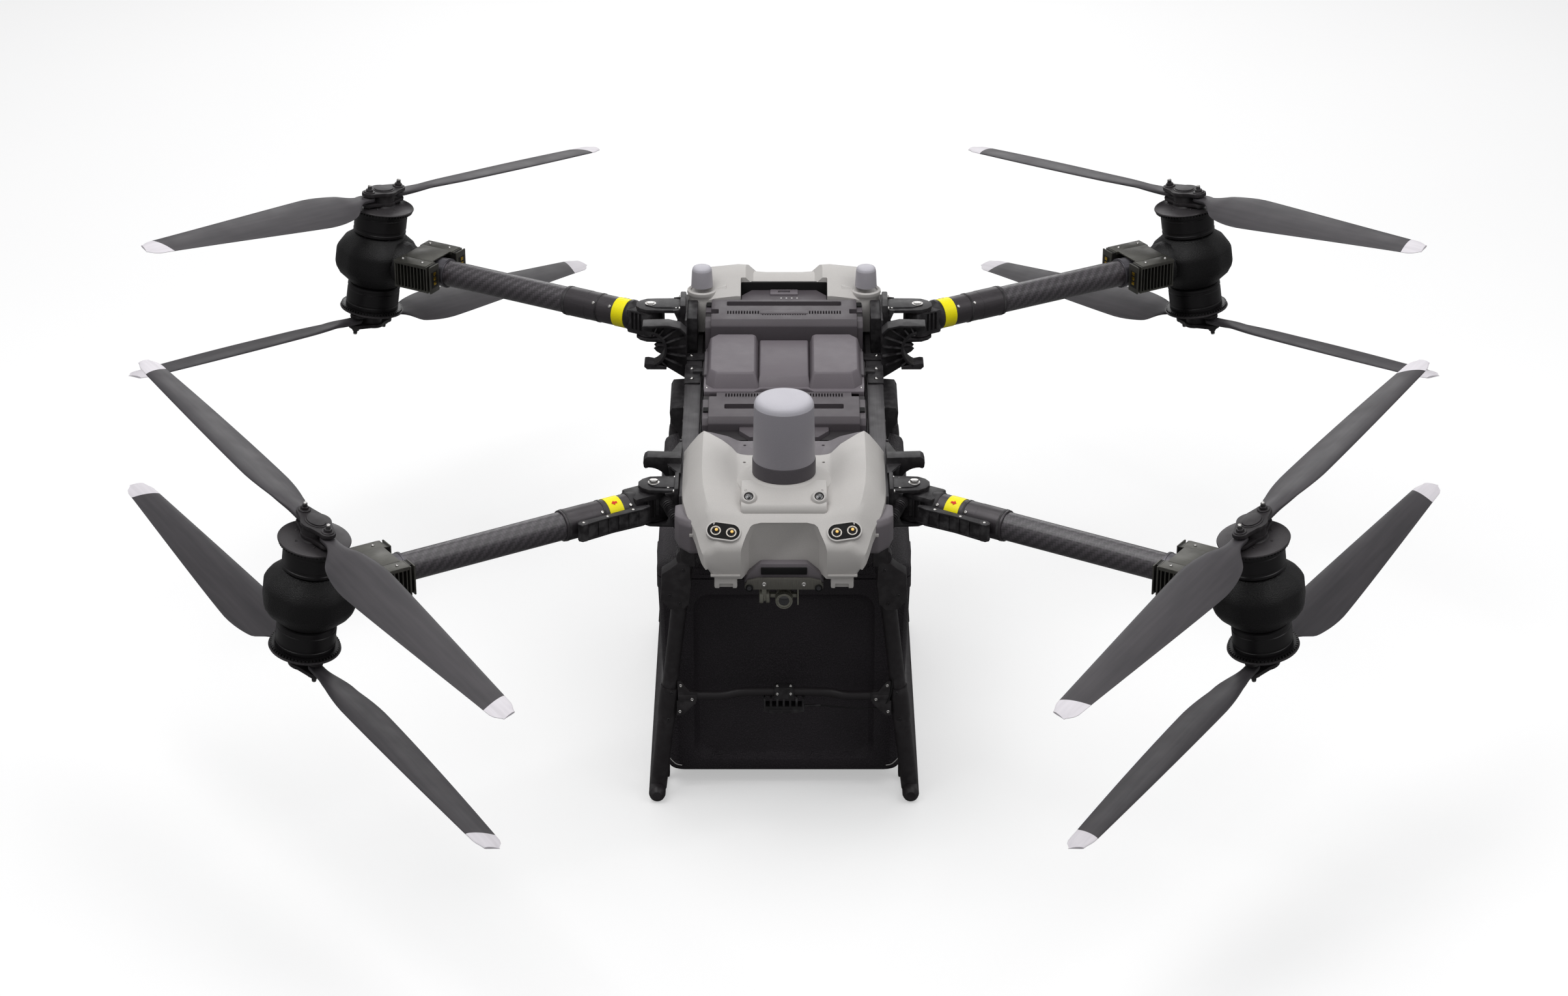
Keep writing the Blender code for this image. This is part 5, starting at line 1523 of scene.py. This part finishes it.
def case_outline(half, front, rear, corner, z, steps=6):
    points = []
    for x_sign, y_end, start in ((1, rear, 0), (-1, rear, 90), (-1, front, 180), (1, front, 270)):
        y_centre = y_end - corner if y_end > 0 else y_end + corner
        for i in range(steps + 1):
            angle = math.radians(start + 90 * i / steps)
            points.append(Vector((x_sign * (half - corner) + corner * math.cos(angle), y_centre + corner *
                math.sin(angle), z)))
    return points


def panel_ring(half, low, high, corner, y, steps=6):
    points = []
    for x_sign, z_end, start in ((1, high, 0), (-1, high, 90), (-1, low, 180), (1, low, 270)):
        z_centre = z_end - corner if z_end == high else z_end + corner
        for i in range(steps + 1):
            angle = math.radians(start + 90 * i / steps)
            points.append(Vector((x_sign * (half - corner) + corner * math.cos(angle), y, z_centre +
                corner * math.sin(angle))))
    return points


def add_case():
    walls = loft([case_outline(half, CASE_FRONT + inset, CASE_REAR - inset, 0.026, z) for z, half,
        inset in ((0.112, 0.2232, 0.006), (0.1145, 0.2268, 0.0025), (0.119, 0.2295, 0.0), (0.3, 0.237, 0.0),
        (0.508, 0.2452, 0.0), (0.5105, 0.247, -0.0), (0.535, 0.247, 0.0))])
    front = loft([panel_ring(*row) for row in ((0.186, 0.13, 0.512, 0.034, CASE_FRONT - 0.02),
        (0.176, 0.139, 0.502, 0.032, CASE_FRONT + 0.001), (0.166, 0.148, 0.49, 0.028, CASE_FRONT + 0.0125),
        (0.16, 0.153, 0.484, 0.026, CASE_FRONT + 0.014))])
    rear = loft([panel_ring(*row) for row in (
        (0.186, 0.13, 0.512, 0.034, CASE_REAR + 0.02), (0.176, 0.139, 0.502, 0.032, CASE_REAR - 0.001),
        (0.166, 0.148, 0.49, 0.028, CASE_REAR - 0.0125), (0.16, 0.153, 0.484, 0.026, CASE_REAR - 0.014))])
    cavity = box((-0.208, -0.3015, 0.15), (0.208, 0.2715, 0.6), 0.012)
    cutters = [cavity, front, rear]
    for side in (-1, 1):
        for y0, y1 in ((-0.27, -0.1), (-0.07, 0.06), (0.09, 0.25)):
            low, high = sorted((side * 0.231, side * 0.26))
            cutters.append(box((low, y0, 0.15), (high, y1, 0.47), 0.008))
        cutters.append(side_box(side, 0.205, 0.26, -0.36, CASE_FRONT + 0.006, 0.13, 0.505, 0.004))
    parts = [(cut(walls, cutters), "case")]
    for side in (-1, 1):
        parts.append((side_box(side, 0.204, 0.23, CASE_FRONT - 0.001, CASE_FRONT + 0.02, 0.505, 0.53,
            0.004), "black"))
        clip = along_path(curve_points([(side * 0.226, CASE_FRONT - 0.002, 0.142),
            (side * 0.214, CASE_FRONT - 0.003, 0.13), (side * 0.202, CASE_FRONT - 0.002, 0.126)], 5),
            0.0014, 10)
        parts.append((clip, "steel"))
        low, high = sorted((side * 0.244, side * 0.25))
        for y in (-0.18, 0.15):
            parts.append((box((low, y - 0.022, 0.49), (high, y + 0.022, 0.533), 0.0022), "black"))
    make("cargo_box", "airframe", parts, BODY_PLACE, ["cargo_case"])

    lid = loft([case_outline(half, CASE_FRONT + inset, CASE_REAR - inset, 0.026, z) for z, half,
        inset in ((0.5358, 0.2455, 0.0015), (0.5375, 0.247, 0.0), (0.548, 0.247, 0.0),
        (0.554, 0.245, 0.002), (0.559, 0.2405, 0.0065), (0.562, 0.233, 0.014))])
    grooves = [box((-0.19, -0.28, 0.56), (-0.02, 0.25, 0.57), 0.003),
        box((0.02, -0.28, 0.56), (0.19, 0.25, 0.57), 0.003)]
    lip = box((-0.168, CASE_FRONT - 0.002, 0.538), (0.168, CASE_FRONT + 0.012, 0.547), 0.0035)
    make("case_cover", "airframe", [(cut(lid, grooves), "case"), (lip, "case")], BODY_PLACE, ["cargo_lid"])


def leg_bracket_parts(side):
    shield = [(0.18, 0.608), (0.204, 0.608), (0.218, 0.596), (0.235, 0.585), (0.2375, 0.53), (0.22, 0.509),
        (0.196, 0.506), (0.183, 0.52), (0.178, 0.56)]
    parts = [(prism(sided(shield, side), -0.413, -0.378, "Y", 0.003), "gear")]
    parts.append((side_box(side, 0.17, 0.2, -0.412, -0.3815, 0.6, 0.655, 0.003), "gear"))
    parts.append((side_box(side, 0.2016, 0.226, 0.327, 0.363, 0.6, 0.648, 0.003), "gear"))
    hinge = lathe([(0.0175, 0.0), (0.0185, 0.001), (0.0185, 0.024), (0.0175, 0.025)], 28)
    parts.append((moved(hinge, at(side * 0.188, -0.412, 0.618) @ aim((0, 1, 0)) @ at(0, 0, 0.002)), "gear"))
    for x, z in ((0.193, 0.593), (0.22, 0.54), (0.2, 0.522)):
        parts.append((bolt(0.0032, 0.002, side * x, -0.4128, z, (0, -1, 0)), "black"))
    return parts


def tapered(start, end, radii, segments=28):
    """Round leg section through evenly spaced radii."""
    start, end = Vector(start), Vector(end)
    count = len(radii) - 1
    points = [start.lerp(end, i / count) for i in range(len(radii))]
    turn = aim(end - start).to_3x3()
    return loft([[p + turn @ c for c in circle(r, 0.0, segments)] for p, r in zip(points, radii)])


def add_legs(name, side):
    def spot(point, share=0.0, other=None):
        base = Vector((side * point[0], point[1], point[2]))
        return base if other is None else base.lerp(Vector((side * other[0], other[1], other[2])), share)

    parts = leg_bracket_parts(side)
    parts.append((tapered(spot(FRONT_HIP), spot(FRONT_KNEE), [0.0165, 0.017, 0.017]), "gear"))
    parts.append((tapered(spot(FRONT_KNEE), spot(FRONT_KNEE, 0.56, FRONT_FOOT),
        [0.0165, 0.0155, 0.0155, 0.0155]), "gear"))
    parts.append((tapered(spot(FRONT_KNEE, 0.5, FRONT_FOOT), spot(FRONT_KNEE, 0.66, FRONT_FOOT),
                          [0.018, 0.019, 0.019, 0.019, 0.018]), "gear"))
    parts.append((tapered(spot(FRONT_KNEE, 0.6, FRONT_FOOT), spot(FRONT_FOOT),
        [0.0175, 0.0168, 0.0165, 0.0165]), "gear"))
    for share in (0.515, 0.645):
        place = spot(FRONT_KNEE, share, FRONT_FOOT)
        parts.append((moved(screw(0.0034, 0.0022), Matrix.Translation(place +
            Vector((-side * 0.004, -0.0182, 0))) @ aim((0, -1, 0))), "black"))
    parts.append((tapered(spot(REAR_HIP), spot(REAR_FOOT), [0.017, 0.0165, 0.0155, 0.0155, 0.016]), "gear"))
    for share in (0.1, 0.5):
        parts.append((tapered(spot(REAR_HIP, share, REAR_FOOT), spot(REAR_HIP, share + 0.07, REAR_FOOT),
            [0.0178, 0.0185, 0.0178]), "gear"))
    skid_radius = [0.009, 0.015] + [SKID_RADIUS] * 16 + [0.015, 0.009]
    start = Vector((side * SKID_X, SKID_FRONT, SKID_Z))
    end = Vector((side * SKID_X, SKID_REAR, SKID_Z))
    length = SKID_REAR - SKID_FRONT
    straight = length - 2 * SKID_NOSE
    ends = [0.0, SKID_NOSE / 2, *(SKID_NOSE + straight * i / 15 for i in range(16)), length - SKID_NOSE / 2,
        length]
    rings = []
    turn = aim(end - start).to_3x3()
    for along, radius in zip(ends, skid_radius):
        centre = start + Vector((0, along, 0))
        rings.append([centre + turn @ c for c in circle(radius, 0.0, 28)])
    parts.append((loft(rings), "gear"))
    for y in (-0.36, 0.3):
        parts.append((side_box(side, SKID_X - 0.01, SKID_X + 0.01, y, y + 0.06, 0.08, 0.092, 0.0015),
            "rubber"))
        for i in range(6):
            parts.append((side_box(side, SKID_X - 0.0112, SKID_X + 0.0112, y + 0.003 + 0.0098 * i, y +
                0.008 + 0.0098 * i, 0.0806, 0.09, 0.0008), "rubber"))
    for y in (-0.3, 0.24):
        parts.append((side_box(side, 0.227, 0.24, y - 0.01, y + 0.01, 0.083, 0.118, 0.003), "gear"))
        parts.append((side_box(side, 0.23, 0.248, y - 0.0075, y + 0.0075, 0.096, 0.11, 0.002), "gear"))
    make(f"leg_pair_{name}", "airframe", parts, BODY_PLACE, [f"landing_gear_{name}"])


def add_crossbar():
    y = -0.387
    path = curve_points([(-0.206, y, 0.288), (-0.15, y, 0.287), (-0.115, y, 0.288), (-0.08, y, 0.2945),
        (0.0, y, 0.296), (0.08, y, 0.2945), (0.115, y, 0.288), (0.15, y, 0.287), (0.206, y, 0.288)], 6)
    parts = [(along_path(path, 0.0088, 24), "gear")]
    for side in (-1, 1):
        bracket = [(0.17, 0.279), (0.206, 0.279), (0.2075, 0.323), (0.2, 0.323), (0.183, 0.3),
            (0.17, 0.299)]
        parts.append((prism(sided(bracket, side), y - 0.0105, y - 0.006, "Y", 0.0008), "gear"))
        lower = [(0.198, 0.248), (0.209, 0.248), (0.209, 0.28), (0.172, 0.28), (0.172, 0.274)]
        parts.append((prism(sided(lower, side), y - 0.01, y - 0.006, "Y", 0.0008), "gear"))
        parts.append((moved(lathe([(0.0112, 0.0), (0.0118, 0.001), (0.0118, 0.034), (0.0112, 0.035)], 28),
                            at(side * 0.1715, y, 0.2875) @ aim((side, 0, 0))), "gear"))
        for x, z in ((0.201, 0.314), (0.179, 0.2835), (0.203, 0.257)):
            parts.append((bolt(0.0034, 0.002, side * x, y - 0.0104, z, (0, -1, 0)), "steel"))
    clamp = [(-0.019, 0.284), (0.019, 0.284), (0.019, 0.306), (0.015, 0.309), (-0.015, 0.309),
        (-0.019, 0.306)]
    parts.append((prism(clamp, y - 0.012, y + 0.012, "Y", 0.0014), "black"))
    for x in (-0.013, 0.013):
        parts.append((bolt(0.0032, 0.0022, x, y - 0.004, 0.3088), "steel"))
        parts.append((bolt(0.0028, 0.0014, x, y - 0.0118, 0.296, (0, -1, 0)), "steel"))
    module = cut(box((-0.04, y - 0.012, 0.256), (0.04, y + 0.012, 0.285), 0.003),
        [box((-0.036 + 0.0125 * i, y - 0.02, 0.268), (-0.0275 + 0.0125 * i, y + 0.02, 0.29), 0.001)
        for i in range(6)])
    parts.append((module, "black"))
    parts.append((box((-0.03, y - 0.013, 0.2545), (0.03, y + 0.01, 0.262), 0.002), "black"))
    for x in (-0.018, 0.018):
        parts.append((moved(lathe([(0.0075, 0.0), (0.0075, 0.0016), (0.0055, 0.0022)], 28),
            at(x, y, 0.255) @ aim((0, 0, -1))), "glass"))
    parts.append((rod((0.04, y, 0.264), (0.072, y, 0.265), 0.003, 16, 0.0006), "black"))
    cable = curve_points([(0.07, y, 0.265), (0.11, y, 0.261), (0.155, y - 0.002, 0.259),
        (0.19, y - 0.006, 0.266), (0.206, y - 0.012, 0.29), (0.211, y - 0.01, 0.326),
        (0.212, y - 0.006, 0.36)], 8)
    parts.append((along_path(cable, 0.0016, 10), "rubber"))
    make("leg_crossbar", "airframe", parts, BODY_PLACE @ at(0, 0, CROSSBAR_LIFT), ["sensor_crossbar"])


add_frame()
add_case()
add_legs("left", -1)
add_legs("right", 1)
add_crossbar()

# ---------------------------------------------------------------- carried-over nodes, stage, light and camera

FLOOR_REACH = 30.0
FLOOR_Z = -0.0005
FLOOR_GLOW = 0.43  # strength that only the camera sees, for the white background
FLOOR_DIM = 0.22  # tone of the floor for all other rays
WORLD_STRENGTH = 0.42
CAMERA_PLACE = (0.0, -7.478, 4.015)
CAMERA_TILT = 64.7
CAMERA_LENS = 94.74

NODE_LOOKS = {"airframe": "black", "front_cowl": "cowl", "rear_cowl": "cowl", "radar_dome": "dome",
    "antenna_left": "dome", "antenna_right": "dome", "parachute_pack": "pack", "landing_gear_left": "gear",
    "landing_gear_right": "gear", "sensor_crossbar": "gear", "gimbal_mount": "camera",
    "gimbal_camera": "camera", "cargo_case": "case", "cargo_lid": "case", "battery_front": "battery",
    "battery_rear": "battery",}
PREFIX_LOOKS = {
    "arm_root": "black", "arm_tube": "sleeve", "motor_pod": "pod", "esc_pair": "esc", "lock_lever": "black",
    "rotor": "bell", "blade": "blade",
}
for node_name, node in frame["nodes"].items():
    look = NODE_LOOKS.get(node_name)
    for prefix, other in PREFIX_LOOKS.items():
        if node_name.startswith(prefix):
            look = other
    if not node.material_slots:
        node.data.materials.append(MATERIALS[look])
    for material_slot in node.material_slots:
        material_slot.material = MATERIALS[look]


def floor_finish():
    n = Nodes("studio_floor")
    cloud = n.ramp(n.noise(0.6, 2.0), 0.3, 0.7, 0.6, 0.62)
    shade = n.add("ShaderNodeCombineColor", {0: cloud, 1: cloud, 2: cloud}).outputs[0]
    seen = n.add("ShaderNodeLightPath").outputs["Is Camera Ray"]
    dim = n.add("ShaderNodeCombineColor", {0: FLOOR_DIM, 1: FLOOR_DIM, 2: FLOOR_DIM}).outputs[0]
    n.set(Emission_Color=(1.0, 1.0, 1.0, 1.0), Emission_Strength=n.math("MULTIPLY", seen, FLOOR_GLOW))
    return n.set(Base_Color=n.mix(seen, dim, shade), Roughness=0.9)


def add_stage():
    mesh = bmesh.new()
    corners = [mesh.verts.new((x * FLOOR_REACH, y * FLOOR_REACH, FLOOR_Z)) for x,
        y in ((-1, -1), (1, -1), (1, 1), (-1, 1))]
    mesh.faces.new(corners)
    data = bpy.data.meshes.new("studio_floor")
    mesh.to_mesh(data)
    mesh.free()
    data.materials.append(floor_finish())
    floor = bpy.data.objects.new("studio_floor", data)
    bpy.context.scene.collection.objects.link(floor)


def add_light(name, place, target, size, power):
    data = bpy.data.lights.new(name, "AREA")
    data.shape = "SQUARE"
    data.size = size
    data.energy = power
    lamp = bpy.data.objects.new(name, data)
    bpy.context.scene.collection.objects.link(lamp)
    lamp.location = place
    lamp.rotation_euler = (Vector(place) - Vector(target)).to_track_quat("Z", "Y").to_euler()


def add_world():
    world = bpy.data.worlds.new("studio")
    bpy.context.scene.world = world
    world.use_nodes = True
    world.node_tree.nodes["Background"].inputs[0].default_value = (0.97, 0.97, 0.98, 1.0)
    world.node_tree.nodes["Background"].inputs[1].default_value = WORLD_STRENGTH


def add_camera():
    data = bpy.data.cameras.new("camera")
    data.lens = CAMERA_LENS
    data.sensor_width = 36.0
    camera = bpy.data.objects.new("camera", data)
    bpy.context.scene.collection.objects.link(camera)
    camera.location = CAMERA_PLACE
    camera.rotation_euler = (math.radians(CAMERA_TILT), 0.0, 0.0)
    bpy.context.scene.camera = camera


add_stage()
add_world()
for light in (
    ("key", (-2.2, -1.4, 5.6), (0, 0, 0.6), 3.2, 100.0),
    ("fill", (3.0, -1.6, 4.6), (0, 0, 0.6), 3.0, 55.0),
    ("top", (0.0, 0.8, 5.6), (0, 0, 0.6), 4.0, 90.0),
    ("back", (0.0, 5.0, 2.6), (0, 0, 0.7), 3.0, 40.0),
):
    add_light(*light)
add_camera()
bpy.context.scene.view_settings.view_transform = "Standard"
